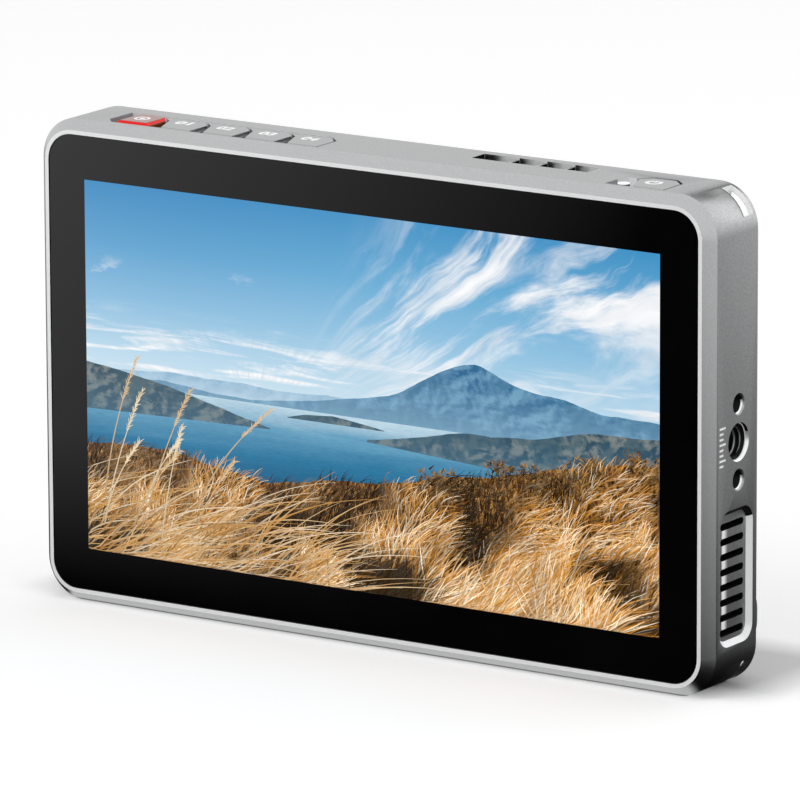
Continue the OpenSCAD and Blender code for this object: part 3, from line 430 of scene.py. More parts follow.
def effect_group(name, given, results, build):
    """Shader node group, made once. Its inputs have the given names and defaults, and build turns their
    values into the results, which are named with an example of their kind."""
    if name in bpy.data.node_groups:
        return bpy.data.node_groups[name]
    group = bpy.data.node_groups.new(name, "ShaderNodeTree")
    for way, sockets in (("INPUT", given), ("OUTPUT", results)):
        for label, value in sockets.items():
            kind = SOCKET_KINDS[np.size(value)]
            group.interface.new_socket(label, in_out=way, socket_type=kind).default_value = value
    entry = group.nodes.new("NodeGroupInput")
    leave = group.nodes.new("NodeGroupOutput")
    built = build(*(Value(entry.outputs[label]) for label in given))
    for label, value in zip(results, built):
        feed(leave.inputs[label], value)
    return group


def bump(height, depth):
    inputs = {"Height": height, "Distance": depth, "Strength": 1.0}
    return Value(put(height.tree, "ShaderNodeBump", inputs).outputs["Normal"])


def grain_group():
    """Fine grain of a blasted or moulded surface: speckles, slow cloudiness and a small bump."""

    def build(colour, scale, speckle, cloudiness, rough, spread, depth):
        place = object_place(colour.tree)
        grains = noise(place, scale, 2.0, 0.6)
        clouds = noise(place, 60.0, 4.0, 0.6) - 0.5
        tone = ((grains - 0.5) * speckle + 1.0) * (clouds * cloudiness + 1.0)
        return toned(colour, tone), clouds * spread + rough, bump(grains, depth)

    given = {"Colour": (0.5, 0.5, 0.5, 1), "Grains per Metre": 9000.0, "Speckle": 0.1, "Cloudiness": 0.05,
             "Rough": 0.4, "Rough Spread": 0.08, "Depth": 0.00001}
    return effect_group("surface grain", given, SURFACE_OUTPUTS, build)


def lines_group():
    """Fine parallel lines of brushed, turned or ground metal: grain stretched along one way."""

    def build(colour, along, contrast, rough, spread, depth):
        lines = noise(stretch(object_place(colour.tree), along), 1.0, 3.0, 0.6)
        offset = lines - 0.5
        return toned(colour, offset * contrast + 1.0), offset * spread + rough, bump(lines, depth)

    given = {"Colour": (0.5, 0.5, 0.5, 1), "Stretch": (1.0, 1.0, 1.0), "Contrast": 0.2, "Rough": 0.3,
             "Rough Spread": 0.15, "Depth": 0.000005}
    return effect_group("drawn lines", given, SURFACE_OUTPUTS, build)


class Surface:
    """A material with only its shader. Uniform values are set on the shader's own sockets."""

    def __init__(self, name, **values):
        self.material = bpy.data.materials.new(name)
        self.material.use_nodes = True
        self.tree = self.material.node_tree
        self.shader = self.tree.nodes["Principled BSDF"]
        self.feed(**values)

    def feed(self, **values):
        """Links or sets the shader's sockets, and gives the material back."""
        for label, value in values.items():
            feed(self.shader.inputs[label.replace("_", " ")], value)
        return self.material

    def effect(self, group, **values):
        """Feeds the shader from an effect group, and gives back the group's outputs by name."""
        inputs = {label.replace("_", " "): value for label, value in values.items()}
        made = outputs(put(self.tree, "ShaderNodeGroup", inputs, node_tree=group))
        self.feed(Base_Color=made["Colour"], Roughness=made["Roughness"], Normal=made["Normal"])
        return made

    def grain(self, colour, rough, grains, speckle, cloudiness, spread, depth):
        """Blasted or moulded grain, its depth in millimetres. Gives the grain's outputs back."""
        return self.effect(
            grain_group(), Colour=(*colour, 1), Grains_per_Metre=grains, Speckle=speckle,
            Cloudiness=cloudiness, Rough=rough, Rough_Spread=spread, Depth=depth * MM)


def grained(name, colour, metallic, *grain, **sockets):
    """Blasted metal or moulded plastic."""
    surface = Surface(name, Metallic=metallic, **sockets)
    surface.grain(colour, *grain)
    return surface.material


def drawn(name, colour, along, rough, contrast=0.25, spread=0.15, depth=0.004):
    """Metal with lines drawn along one way. The lines' depth is in millimetres."""
    surface = Surface(name, Metallic=1.0)
    surface.effect(
        lines_group(), Colour=(*colour, 1), Stretch=along, Contrast=contrast, Rough=rough,
        Rough_Spread=spread, Depth=depth * MM)
    return surface.material


# ---- What a user may change ----


# Dry grass as its random colours were chosen
STRAW = (0.62, 0.40, 0.20)


class MonitorSizes(bpy.types.PropertyGroup):
    edge: bpy.props.FloatProperty(
        name="Case Edge", description="Width of the small bevel on the case's edges",
        default=0.00012, min=0.00004, max=0.0003, unit="LENGTH", precision=5)
    small_edge: bpy.props.FloatProperty(
        name="Small Edge", description="Width of the small bevel on the pieces inside and behind",
        default=0.00010, min=0.00002, max=0.0002, unit="LENGTH", precision=5)
    key_edge: bpy.props.FloatProperty(
        name="Key Edge", description="Width of the small bevel on the keys' edges",
        default=0.00010, min=0.00004, max=0.0002, unit="LENGTH", precision=5)
    blades: bpy.props.IntProperty(
        name="Grass Blades", description="Number of grass blades in the picture", default=9000, min=1000,
        max=14000)


class MonitorColours(bpy.types.PropertyGroup):
    case: bpy.props.FloatVectorProperty(
        name="Case", description="Colour of the blasted metal case", subtype="COLOR", size=3,
        default=(0.40, 0.405, 0.41), min=0, max=1)
    red_key: bpy.props.FloatVectorProperty(
        name="Red Key", description="Colour of the lacquered key", subtype="COLOR", size=3,
        default=(0.92, 0.004, 0.006), min=0, max=1)
    straw: bpy.props.FloatVectorProperty(
        name="Dry Grass", description="Colour of the dry grass in the picture", subtype="COLOR", size=3,
        default=STRAW, min=0, max=1)


# ---- Finishes ----

# Slot or special face: name, colour, metallic and roughness, then its grain: grains per metre, speckle,
# cloudiness, spread of the roughness and depth in millimetres
GRAINED = {
    # The cut rim's near-white colour is partly its real polished edge and partly a painted highlight; the
    # outlet's lit slopes take it as a painted highlight too.
    "rim": ("cut rim", (0.95, 0.955, 0.96), 0.2, 0.42, 9000, 0.05, 0.02, 0.05, 0.001),
    # The recess colour is painted light on floors and walls of the key groove and power pocket, which lie in
    # shade; dim_recess is its darker painted-shade copy.
    "recess": ("recess painted light", (0.80, 0.81, 0.82), 0.1, 0.5, 5000, 0.2, 0.05, 0.06, 0.003),
    "dim_recess": ("shaded recess", (0.30, 0.325, 0.345), 0.1, 0.5, 5000, 0.2, 0.05, 0.06, 0.003),
    # The corner slot's white walls are painted light where they lie in shade.
    "slot": ("corner slot painted light", (0.97, 0.97, 0.97), 0, 0.5, 5000, 0.1, 0.03, 0.05, 0.002),
    "adhesive": ("foam tape", (0.05, 0.05, 0.05), 0, 0.9, 4000, 0.5, 0.1, 0.1, 0.02),
    "display": ("display layer", (0.10, 0.20, 0.34), 0, 0.2, 3000, 0.1, 0.1, 0.05, 0.001),
    "backlight": ("reflector film", (0.86, 0.86, 0.84), 0, 0.45, 2500, 0.06, 0.06, 0.1, 0.004),
    "screw_steel": ("plated screws", (0.16, 0.165, 0.17), 1.0, 0.32, 6000, 0.2, 0.2, 0.1, 0.004),
    "circuit_board": ("solder mask", (0.03, 0.16, 0.08), 0, 0.38, 2500, 0.4, 0.3, 0.1, 0.01),
    "chip": ("moulded epoxy", (0.05, 0.05, 0.055), 0, 0.6, 7000, 0.3, 0.1, 0.1, 0.01),
    "thermal_pad": ("silicone pad", (0.35, 0.45, 0.52), 0, 0.7, 3000, 0.15, 0.1, 0.1, 0.01),
    "fan_plastic": ("fan plastic", (0.03, 0.03, 0.033), 0, 0.5, 6000, 0.25, 0.15, 0.12, 0.01),
    "switch": ("switch plastic", (0.6, 0.61, 0.62), 0, 0.5, 5000, 0.15, 0.1, 0.1, 0.008),
    "plunger_plastic": ("plunger plastic", (0.035, 0.035, 0.04), 0, 0.5, 5000, 0.2, 0.1, 0.1, 0.008),
    "rear_plastic": ("textured plastic", (0.115, 0.12, 0.127), 0, 0.55, 3200, 0.35, 0.12, 0.12, 0.03),
    "mount_plastic": ("filled plastic", (0.03, 0.031, 0.034), 0, 0.5, 3600, 0.4, 0.15, 0.15, 0.02),
    "latch_plastic": ("latch plastic", (0.42, 0.05, 0.03), 0, 0.4, 4000, 0.2, 0.12, 0.1, 0.01),
    "jack_plastic": ("jack plastic", (0.03, 0.03, 0.033), 0, 0.42, 5000, 0.25, 0.12, 0.12, 0.01),
    "flex_film": ("polyimide film", (0.42, 0.17, 0.03), 0, 0.3, 1500, 0.25, 0.2, 0.1, 0.003),
    "mark": ("white ink", (0.97, 0.97, 0.97), 0, 0.5, 9000, 0.04, 0.02, 0.05, 0.002),
}
# Slot: name, colour, grains per metre along X, Y and Z, roughness
DRAWN = {
    "bracket_metal": ("stamped sheet", (0.62, 0.63, 0.64), (500, 500, 6000), 0.34),
    "heat_sink": ("extruded fins", (0.62, 0.63, 0.64), (400, 7000, 7000), 0.36),
    "shaft_steel": ("ground steel", (0.66, 0.67, 0.68), (9000, 9000, 900), 0.22),
    "copper_coil": ("copper winding", (0.72, 0.33, 0.14), (500, 9000, 500), 0.3, 0.6, 0.2, 0.03),
    "contact_gold": ("gold plate", (0.80, 0.56, 0.22), (5000, 5000, 600), 0.24),
    "socket_steel": ("drawn shell", (0.55, 0.56, 0.57), (600, 8000, 8000), 0.28),
}
# Grain of the blasted case, as in the table above
BLASTED = (2700, 0.75, 0.05, 0.06, 0.008)
WHITE = grey(0.97)


def make_finishes(colours):
    """One material for each of the record's slots, by slot name, and a few more for special faces."""
    case = tuple(colours.case)
    shaded = ("shaded metal", (0.006, 0.006, 0.0065), 0, 0.6, 4200, 0.4, 0.1, 0.1, 0.006)
    return {
        **{slot: grained(*look) for slot, look in GRAINED.items()},
        **{slot: drawn(*look) for slot, look in DRAWN.items()},
        "case_metal": case_finish(case),
        "chamfer": chamfer_finish(),
        "bore": bore_finish(),
        "shade": grained(*shaded, Specular_IOR_Level=0.05),
        "vent": vent_finish(),
        "bars": bars_finish(case),
        "thread_steel": thread_finish("side thread", "side_thread_insert", 0),
        "low_thread": thread_finish("bottom thread", "bottom_thread_insert", 2),
        "red_key": red_finish(tuple(colours.red_key)),
        "grey_key": key_finish(case),
        "light_pipe": light_finish(),
        "screen_glass": glass_finish(),
    }


def case_finish(colour):
    """Blasted metal, with a small white scale printed beside the side thread and a painted shadow line along
    the front edges of the upper corner slots."""
    surface = Surface("blasted metal")
    metal = surface.grain(colour, 0.34, *BLASTED)["Colour"]
    x, y, z = object_parts(surface.tree)
    # Eight bars, every third of them long, numbered upwards from 0
    bars, spacing = 8, 0.95
    count = (z - SIDE_THREAD[2]) / spacing + bars / 2
    longer = (count.calc("FLOOR") + 2).calc("MODULO", 3)
    along = y - (FRONT + 3.1)
    bar = abs(count.calc("FRACT") - 0.5).remap(0.21, 0.18) * count.within(0, bars, 0.001)
    bar = bar * (along > 0) * (along < longer.remap(0, 0.5, 2.0, 1.25)) * (x > HALF_W - 0.02)
    slot_edge = CASE_HIGH[1] - HOOD_BAR - HOOD_SLOT
    aside = (abs(x) - (HALF_W - CORNER_R)) / CORNER_R
    above = (z - (CASE_H - CORNER_R)) / CORNER_R
    # Painted shadow: a dark line along the front edge of each upper corner slot
    line = y.within(slot_edge - 0.32, slot_edge + 0.2, 0.05)
    line = line * aside.remap(0.33, 0.35) * above.remap(0.33, 0.35)
    return surface.feed(Base_Color=mix(bar, mix(line, metal, grey(0.09)), WHITE), Metallic=1 - bar)


def chamfer_finish():
    """Bevel of the front edge, with a painted shadow line where it meets the floor."""
    surface = Surface("bevel metal", Metallic=1.0)
    metal = surface.grain((0.52, 0.525, 0.53), 0.32, 3600, 0.35, 0.04, 0.06, 0.006)["Colour"]
    # Painted shadow: dark up to about 0.3 mm above the floor
    line = object_parts(surface.tree)[2].remap(0.42, 0.30)
    return surface.feed(Base_Color=mix(line, metal, grey(0.07)))


def vent_finish():
    """Walls of the four top vents, with painted shade at each one's left end that runs to painted light at
    its right.
    """
    surface = Surface("vent walls", Roughness=0.45)
    x = object_parts(surface.tree)[0]
    uneven = noise(stretch(object_place(surface.tree), (900, 900, 1500)), 1.0, 3.0) - 0.5
    # Painted shade and light: dark at each vent's left end, bright at its right
    share = ((x - VENT_LEFT) / VENT_PITCH).calc("FRACT") * (x > VENT_LEFT) + uneven * 0.3
    return surface.feed(Base_Color=ramp(
        share, (0.06, grey(0.012)), (0.16, grey(0.05)), (0.3, grey(0.36)), (0.55, grey(0.80))))


def bars_finish(colour):
    """Floor of the outlet: blasted metal, with painted highlights in white at the front ends of its bars."""
    surface = Surface("outlet bars")
    metal = surface.grain(colour, 0.36, *BLASTED)["Colour"]
    x, y, z = object_parts(surface.tree)
    depth = y - FRONT
    # Painted highlight: white at the front ends of the bars
    ends = z.within(*OUTLET_BARS, 0.1) * depth.remap(5.35, 5.5) * depth.remap(7.4, 6.3)
    return surface.feed(Base_Color=mix(ends, metal, WHITE), Metallic=1 - ends)


def thread_finish(name, node, axis):
    """Turned thread along X or Z: steel crests and a steel face round the mouth, with painted shade that
    turns the grooves between the crests black and darkens the crests with depth and towards one side."""
    surface = Surface(name, Metallic=0.3, Specular_IOR_Level=0.1)
    place = object_parts(surface.tree)
    low, high = node_box(node)
    middle = (low + high) / 2
    across = place[2 - axis] - middle[2 - axis]
    radius = distance(across, place[1] - middle[1])
    depth = high[0] - place[0] if axis == 0 else place[2] - low[2]
    # Painted shade: the crests fade to black with depth and towards one side, and everything between them is
    # painted black
    crest = radius.remap(THREAD_BORE + 0.22, THREAD_BORE + 0.05)
    crest = crest * depth.remap(4.0, 0.5, 0.12, 1.0) * across.remap(1.6, -1.2, 0.1, 1.0)
    shown = crest.max(radius.remap(THREAD_R + 0.05, THREAD_R + 0.12))
    rings = noise(stretch(object_place(surface.tree), (6000, 6000, 6000)), 1.0)
    metal = ramp(rings, (0.3, (0.72, 0.72, 0.73)), (0.7, (0.92, 0.92, 0.93)))
    colour = mix(shown, (0.006, 0.006, 0.007, 1), metal)
    return surface.feed(Base_Color=colour, Roughness=rings.remap(0.3, 0.7, 0.3, 0.42))


def light_finish():
    """Clear moulded light: its top glows faintly, its sides are darker."""
    surface = Surface("clear light", Roughness=0.2, Emission_Strength=0.3)
    z = object_parts(surface.tree)[2]
    high = node_box("status_light_pipe")[1][2]
    top = z.remap(high - 0.2, high - 0.1)
    tone = noise(object_place(surface.tree), 2500.0)
    pale = ramp(tone, (0.3, (0.80, 0.84, 0.82)), (0.7, (0.95, 0.98, 0.96)))
    return surface.feed(Base_Color=mix(top, grey(0.10), pale), Emission_Color=mix(top, grey(0), pale))


def smudged(name, **values):
    """Surface with faint smudges in its gloss. Gives the smudges back too."""
    surface = Surface(name, **values)
    smudge = noise(stretch(object_place(surface.tree), (30, 30, 30)), 1.0, 5.0, 0.6, 0.6)
    surface.feed(Roughness=smudge.remap(0.4, 0.75, 0.03, 0.09))
    return surface, smudge


def glass_finish():
    """Black printed border under polished glass, with faint smudges."""
    surface, smudge = smudged("bordered glass", IOR=1.5)
    black = ramp(smudge, (0.35, (0.0012, 0.0012, 0.0014)), (0.7, (0.0022, 0.0022, 0.0025)))
    return surface.feed(Base_Color=black)


def bore_finish():
    """Wall of a hole: a painted highlight of bright metal, tilted by a bump, low in its mouth, and painted
    shade, nearly black, elsewhere.
    """
    surface = Surface("machined bore", Specular_IOR_Level=0.1)
    x, y, z = object_parts(surface.tree)
    height = z - SIDE_THREAD[2]
    # 1 in the two holes for locating pins, 0 in the thread's
    pin = abs(height) > 4.4
    local = height - height.calc("SIGN") * pin * PIN_OFFSET
    depth = HALF_W - x
    # Painted highlight low in the mouth of each side hole and all round the mouth of the bottom holes;
    # painted shade everywhere else
    bevel = (pin * 0.4 + depth).remap(1.12, 1.04) * (pin * 0.8 + local).remap(1.3, 1.1)
    shown = bevel.max(z.remap(1.25, 1.15))
    rings = noise(stretch(object_place(surface.tree), (14000, 1500, 14000)), 1.0)
    bright = ramp(rings, (0.3, (0.86, 0.86, 0.87)), (0.7, (0.99, 0.99, 0.99)))
    rise = depth.calc("MINIMUM", 2.0) * MM
    return surface.feed(
        Base_Color=mix(shown, (0.003, 0.003, 0.004, 1), bright), Metallic=shown,
        Roughness=rings.remap(0.3, 0.7, 0.22, 0.32), Normal=bump(rise, 1.0))


def key_finish(colour):
    """Satin metal of the grey keys, with painted light below the upper edge of their sides: a pale, dull
    grey.
    """
    surface = Surface("satin keys")
    metal = surface.grain(colour, 0.34, 4600, 0.26, 0.05, 0.06, 0.006)["Colour"]
    z = object_parts(surface.tree)[2]
    high = node_box("function_button_1")[1][2]
    # Painted light: a pale dull grey in place of the metal on the lower sides
    painted_light_below = z.remap(high - 0.45, high - 0.75)
    return surface.feed(Base_Color=mix(painted_light_below, metal, grey(0.42)), Metallic=1 - painted_light_below)


def red_finish(red):
    """Red lacquer with painted shade low at the key's right end and a painted sheen of dull brown on its
    top, where a white ring and dot are printed.
    """
    surface = Surface("red lacquer", Specular_IOR_Level=0.24)
    lacquer = surface.grain(red, 0.3, 6000, 0.1, 0.06, 0.08, 0.002)
    x, y, z = object_parts(surface.tree)
    low, high = node_box("record_button")
    aside = x - ((low[0] + high[0]) / 2 - 0.2)
    away = distance(aside, y - ((low[1] + high[1]) / 2 + 0.2))
    mark = abs(away - 1.25).remap(0.26, 0.22).max(away.remap(0.6, 0.56))
    on_top = z.remap(high[2] - 0.06, high[2] - 0.04)
    # Painted shade: dark brown low on the key's right end
    painted_shade = z.remap(high[2] - 0.4, high[2] - 0.55) * aside.remap(0.9, 1.1)
    side = mix(painted_shade, lacquer["Colour"], (0.17, 0.045, 0.004, 1))
    # Painted sheen: a dull brown top in place of the red
    painted_sheen_and_shade = mix(on_top, side, (0.27, 0.10, 0.075, 1))
    rough = on_top * -0.18 + lacquer["Roughness"]
    return surface.feed(Base_Color=mix(mark * on_top, painted_sheen_and_shade, WHITE), Roughness=rough)


FINISH = {}


def finish(name):
    """The finished material of a slot or special face; all are made at the first call."""
    if not FINISH:
        FINISH.update(make_finishes(bpy.context.scene.monitor_colours))
    return FINISH[name]


# ---- Operators ----


class MONITOR_OT_stage(bpy.types.Operator):
    """Pale floor, soft lamps, white surroundings and the camera"""

    bl_idname = "monitor.stage"
    bl_label = "Stage"

    def execute(self, context):
        scene = context.scene
        scene.view_settings.view_transform = "Standard"
        make_world(scene)
        make_floor()
        make_lamps()
        make_camera(scene)
        return {"FINISHED"}


def ray_kinds(tree):
    """1 for camera rays, for glossy rays and for transmission rays."""
    rays = outputs(put(tree, "ShaderNodeLightPath"))
    return rays["Is Camera Ray"], rays["Is Glossy Ray"], rays["Is Transmission Ray"]


def make_world(scene):
    """White where it is seen or mirrored, dimmer as a light, with one dark flag that only metal mirrors."""
    world = bpy.data.worlds.new("studio")
    scene.world = world
    world.use_nodes = True
    tree = world.node_tree
    background = tree.nodes["Background"]
    camera, glossy, through = ray_kinds(tree)
    strength = camera.max(glossy).max(through).remap(0, 1, 0.45, 1.0)
    way = outputs(put(tree, "ShaderNodeTexCoord"))["Generated"]
    towards = put(tree, "ShaderNodeVectorMath", {0: way, 1: (-0.134, 0.814, 0.565)}, operation="DOT_PRODUCT")
    flag = outputs(towards)["Value"].ease(0.968, 0.990)
    feed(background.inputs["Color"], (1, 1, 1, 1))
    feed(background.inputs["Strength"], strength * (1 - flag * glossy))


def make_floor():
    """Plain pale floor. It is white to the camera outside the object's shadow, with a painted shadow just
    behind the object, and mirrors show a painted pattern: dark near the object, a bright strip under its
    front edge, white further off."""
    count = 9
    span = np.linspace(-4000, 4000, count)
    x, y = np.meshgrid(span, span, indexing="ij")
    points = np.stack([x, y, np.full_like(x, -0.03)], -1)
    mesh = mesh_from("floor", points, grid_faces(count, count)[:, ::-1])
    floor = bpy.data.objects.new("floor", mesh)
    bpy.context.scene.collection.objects.link(floor)
    surface = Surface(
        "pale floor", Base_Color=grey(0.75), Roughness=0.9, Specular_IOR_Level=0.0, Emission_Color=grey(1))
    tree = surface.tree
    camera, glossy, through = ray_kinds(tree)
    # Places and limits on the floor are in metres
    x, y, z = parts(object_place(tree))
    # Painted shade and light seen only in mirrors: dark near the object, white further off, and a bright
    # strip under its front edge
    left = (y * 0.49 + 0.02 - x).calc("MULTIPLY", 6.0, clamp=True) * y.remap(-0.02, -0.12)
    right = x.remap(0.07, 0.12) * (x * 1.3 + 0.026) * y.remap(0, -0.02)
    behind = y.max(x - 0.07) * 1.9
    wide = HALF_W * MM - 0.005
    strip = x.within(-wide, wide, 0.002) * y.within((FRONT - 4) * MM, (FRONT + 3.5) * MM, 0.001) * 0.8
    mirrored = left.max(right).max(behind).max(strip, clamp=True)
    # Painted shadow: dimmer to the camera just behind the object
    under = y.within(0.002, 0.025, 0.01) * x.within(-0.07, 0.07, 0.01)
    reflected = glossy.max(through)
    surface.feed(Emission_Strength=mirrored * reflected + camera * under.remap(0, 1, 0.35, 0))
    glow = put(tree, "ShaderNodeEmission", {"Strength": mirrored})
    either = put(tree, "ShaderNodeMixShader", {"Fac": reflected})
    tree.links.new(surface.shader.outputs[0], either.inputs[1])
    tree.links.new(glow.outputs[0], either.inputs[2])
    tree.links.new(either.outputs[0], tree.nodes["Material Output"].inputs["Surface"])
    mesh.materials.append(surface.material)


LAMPS = (
    # name, place in metres, size in metres, watts, seen in gloss
    ("key lamp", (-0.9, -1.3, 1.3), 1.2, 14.0, False),
    ("top lamp", (0.1, 0.2, 1.5), 1.3, 5.0, False),
    ("fill lamp", (1.4, -0.5, 0.8), 1.0, 5.0, False),
    ("back lamp", (0.55, 1.35, 0.66), 1.3, 3.2, True),
)


def make_lamps():
    """Soft square lamps, each turned to the middle of the object."""
    aim = Vector((0, 0, 0.045))
    for name, place, size, watts, in_gloss in LAMPS:
        data = bpy.data.lights.new(name, "AREA")
        data.shape = "SQUARE"
        data.size = size
        data.energy = watts
        lamp = bpy.data.objects.new(name, data)
        lamp.location = place
        lamp.visible_glossy = in_gloss
        lamp.rotation_euler = (aim - Vector(place)).to_track_quat("-Z", "Y").to_euler()
        bpy.context.scene.collection.objects.link(lamp)


def make_camera(scene):
    """Camera where the photograph was taken from: a long lens, to the right of and above the object."""
    turn = (
        Matrix.Rotation(math.radians(33.37), 4, "Z")
        @ Matrix.Rotation(math.radians(90 - 12.93), 4, "X")
        @ Matrix.Rotation(math.radians(-0.25), 4, "Z")
    )
    data = bpy.data.cameras.new("camera")
    data.lens = 384.25
    data.sensor_width = 36
    data.clip_start = 0.05
    camera = bpy.data.objects.new("camera", data)
    camera.matrix_world = Matrix.Translation((0.81096, -1.23105, 0.38166)) @ turn
    scene.collection.objects.link(camera)
    scene.camera = camera


def between(values, low, high):
    """Which values lie between two limits."""
    return (values > low) & (values < high)


class MONITOR_OT_case(bpy.types.Operator):
    """Metal case with its cut rim, front bevel, grooves, vents, outlet and holes, and painted light and
    shade on some of their faces
    """

    bl_idname = "monitor.case"
    bl_label = "Case"

    def execute(self, context):
        names = (
            "case_metal", "rim", "chamfer", "bore", "recess", "dim_recess", "shade", "vent", "bars", "slot")
        materials = [finish(name) for name in names]
        piece = dressed("main_housing", "case_of_metal", materials, context.scene.monitor_sizes.edge / MM)
        middles, normals = face_data(piece.data)
        x, y, z = middles.T
        depth = y - FRONT
        towards_x, towards_y, towards_z = normals.T
        index = np.zeros(len(middles), np.int32)

        def give(where, name):
            index[where] = names.index(name)

        # The front face takes the near-white rim: partly its real polish, partly a painted highlight
        give((towards_y < -0.9) & (depth < 0.01), "rim")
        give(between(towards_y, -0.9, -0.3) & (depth < 2.1), "chamfer")
        outlet = between(x, HALF_W - 3, HALF_W - 0.05) & between(z, *OUTLET_UP) & between(depth, 2.8, 15)
        slope = outlet & between(towards_x, 0.3, 0.9)
        # Outlet: painted highlight on its lower and rear slopes, painted shade on its upper slope and on the
        # walls of its slots, and painted highlights on the front ends of its bars
        give(slope & ((towards_y < -0.1) | (towards_z > 0.1)), "rim")
        give(slope & (towards_z < -0.2), "shade")
        give(outlet & (towards_x > 0.95), "bars")
        give(outlet & (np.abs(towards_x) < 0.3), "shade")
        # Walls and ends of the holes in the side and in the bottom, with painted highlight and painted shade
        near_thread = np.abs(y - SIDE_THREAD[1]) < 3.7
        side = near_thread & (np.abs(z - SIDE_THREAD[2]) < 9)
        below = near_thread & (np.abs(x) < 9)
        give(side & (np.abs(towards_x) < 0.1) & between(x, HALF_W - 6, HALF_W - 0.1), "bore")
        give(side & (towards_x > 0.95) & between(x, HALF_W - 8, HALF_W - 2), "bore")
        give(below & (np.abs(towards_z) < 0.1) & between(z, 0.1, 6), "bore")
        give(below & (towards_z < -0.95) & between(z, 2, 8), "bore")
        # Key groove, pocket of the power key and vents, with painted light and painted shade on their floors
        # and walls
        top = between(z, 86.4, CASE_H - 0.02) & between(depth, 2.2, 13.6)
        groove = top & between(x, *KEY_GROOVE)
        pocket = top & between(x, *POWER_POCKET)
        vents = top & between(x, *TOP_VENTS)
        give((groove | pocket) & (towards_z > 0.9), "recess")
        give(groove & ((towards_y < -0.9) | (towards_x > 0.9)), "recess")
        give(groove & (towards_x > 0.5) & (towards_y > 0.5), "shade")
        give(groove & (x < -49) & (index == names.index("recess")), "dim_recess")
        give(pocket & (towards_x > 0.95), "dim_recess")
        give(pocket & (towards_y < -0.4) & (x < 51), "recess")
        give(vents & (towards_y < -0.9), "vent")
        give(vents & (towards_x > 0.9), "shade")
        # Upper corner slots, whose inner walls are painted light
        corner = between(np.abs(x), 64, HALF_W - 0.3) & (z > CASE_H - 6.8) & between(depth, 11, 15.5)
        inner = (towards_y < -0.9) | (np.hypot(np.abs(x) - 64, z - CASE_H + 7) < 5.5)
        give(corner & inner, "slot")
        piece.data.polygons.foreach_set("material_index", index)
        return {"FINISHED"}


class MONITOR_OT_screen(bpy.types.Operator):
    """Cover glass with its black border"""

    bl_idname = "monitor.screen"
    bl_label = "Cover Glass"

    def execute(self, context):
        dressed("cover_glass", "bordered_cover_glass", [finish("screen_glass")], 0.06)
        return {"FINISHED"}


# ---- The lit picture: a lake below hills and a slope of dry grass ----

# Skylines as (share across, share up) of the picture
FAR_RIDGE = ((0, 0.500), (0.15, 0.515), (0.35, 0.500), (0.55, 0.515), (0.8, 0.505), (1, 0.525))
MAIN_RANGE = (
    (0, 0.470), (0.14, 0.478), (0.30, 0.472), (0.42, 0.500), (0.55, 0.545), (0.64, 0.625), (0.69, 0.645),
    (0.75, 0.600), (0.83, 0.590), (0.91, 0.555), (1, 0.560),
)
LEFT_SPUR = ((0, 0.515), (0.06, 0.500), (0.15, 0.468), (0.24, 0.440), (0.31, 0.412), (0.33, 0.402))
RIGHT_SPUR = ((0.50, 0.405), (0.58, 0.428), (0.68, 0.462), (0.79, 0.470), (0.90, 0.505), (1, 0.515))
ISLAND = ((0.36, 0.438), (0.39, 0.450), (0.44, 0.457), (0.50, 0.446), (0.53, 0.438))
MEADOW_CREST = (
    (0, 0.285), (0.15, 0.300), (0.33, 0.262), (0.5, 0.285), (0.66, 0.345), (0.82, 0.405), (1, 0.455))
LAKE_TOP = 0.462
# Layers of the leaves, in front of the sheets' layers 0 to 6
SHRUB_LAYER = 7
GRASS_LAYER = 8
GRASS_LAYERS = 8
LONG_LAYER = 16
STALK_LAYER = 17


def on_picture(u, v, layer):
    """Points for shares u across and v up the picture, on one of its layers, kept inside its edges."""
    u, v, layer = np.broadcast_arrays(np.clip(u, 0, 1), np.clip(v, 0, 1), layer)
    y = GLASS_LOW[1] - (layer + 1) * LAYER
    return np.stack([PICTURE_LEFT + u * PICTURE_W, y, PICTURE_LOW + v * PICTURE_H], -1)


def broken_line(u, seed, first, octaves):
    """Jagged line round zero: the sum over octaves k of 0.5^k times random heights, joined straight, at
    first * 2^k knots across the picture."""
    heights = np.random.default_rng(seed)
    total = np.zeros_like(u)
    for k in range(octaves):
        knots = int(first * 2**k) + 2
        total += 0.5**k * np.interp(u * first * 2**k, np.arange(knots), heights.uniform(-1, 1, knots))
    return total


def skyline(u, knots, rough, seed):
    """Line through the knots, rounded by a running mean, plus rough times a broken line."""
    across, up = np.array(knots).T
    reach = 8
    wide = np.interp(u, across, up)
    weights = np.hanning(2 * reach + 3)[1:-1]
    smooth = np.convolve(np.pad(wide, reach, "edge"), weights / weights.sum(), "valid")
    return smooth + rough * broken_line(u, seed, 7, 6)


def picture_sheet(name, top, low, layer, material, from_u=0.0, to_u=1.0, steps=400):
    """Flat sheet of the picture between a lower line and a skyline: v = low + share * (top - low)."""
    u = np.linspace(from_u, to_u, steps)
    low_line, top_line = (line(u) if callable(line) else np.full(steps, line) for line in (low, top))
    share = np.linspace(0, 1, 5)[:, None]
    v = low_line + share * np.maximum(top_line - low_line, 0.0005)
    mesh = mesh_from(name, on_picture(u, v, layer), grid_faces(len(share), steps)[:, ::-1])
    return new_piece(name, mesh, "case", material)


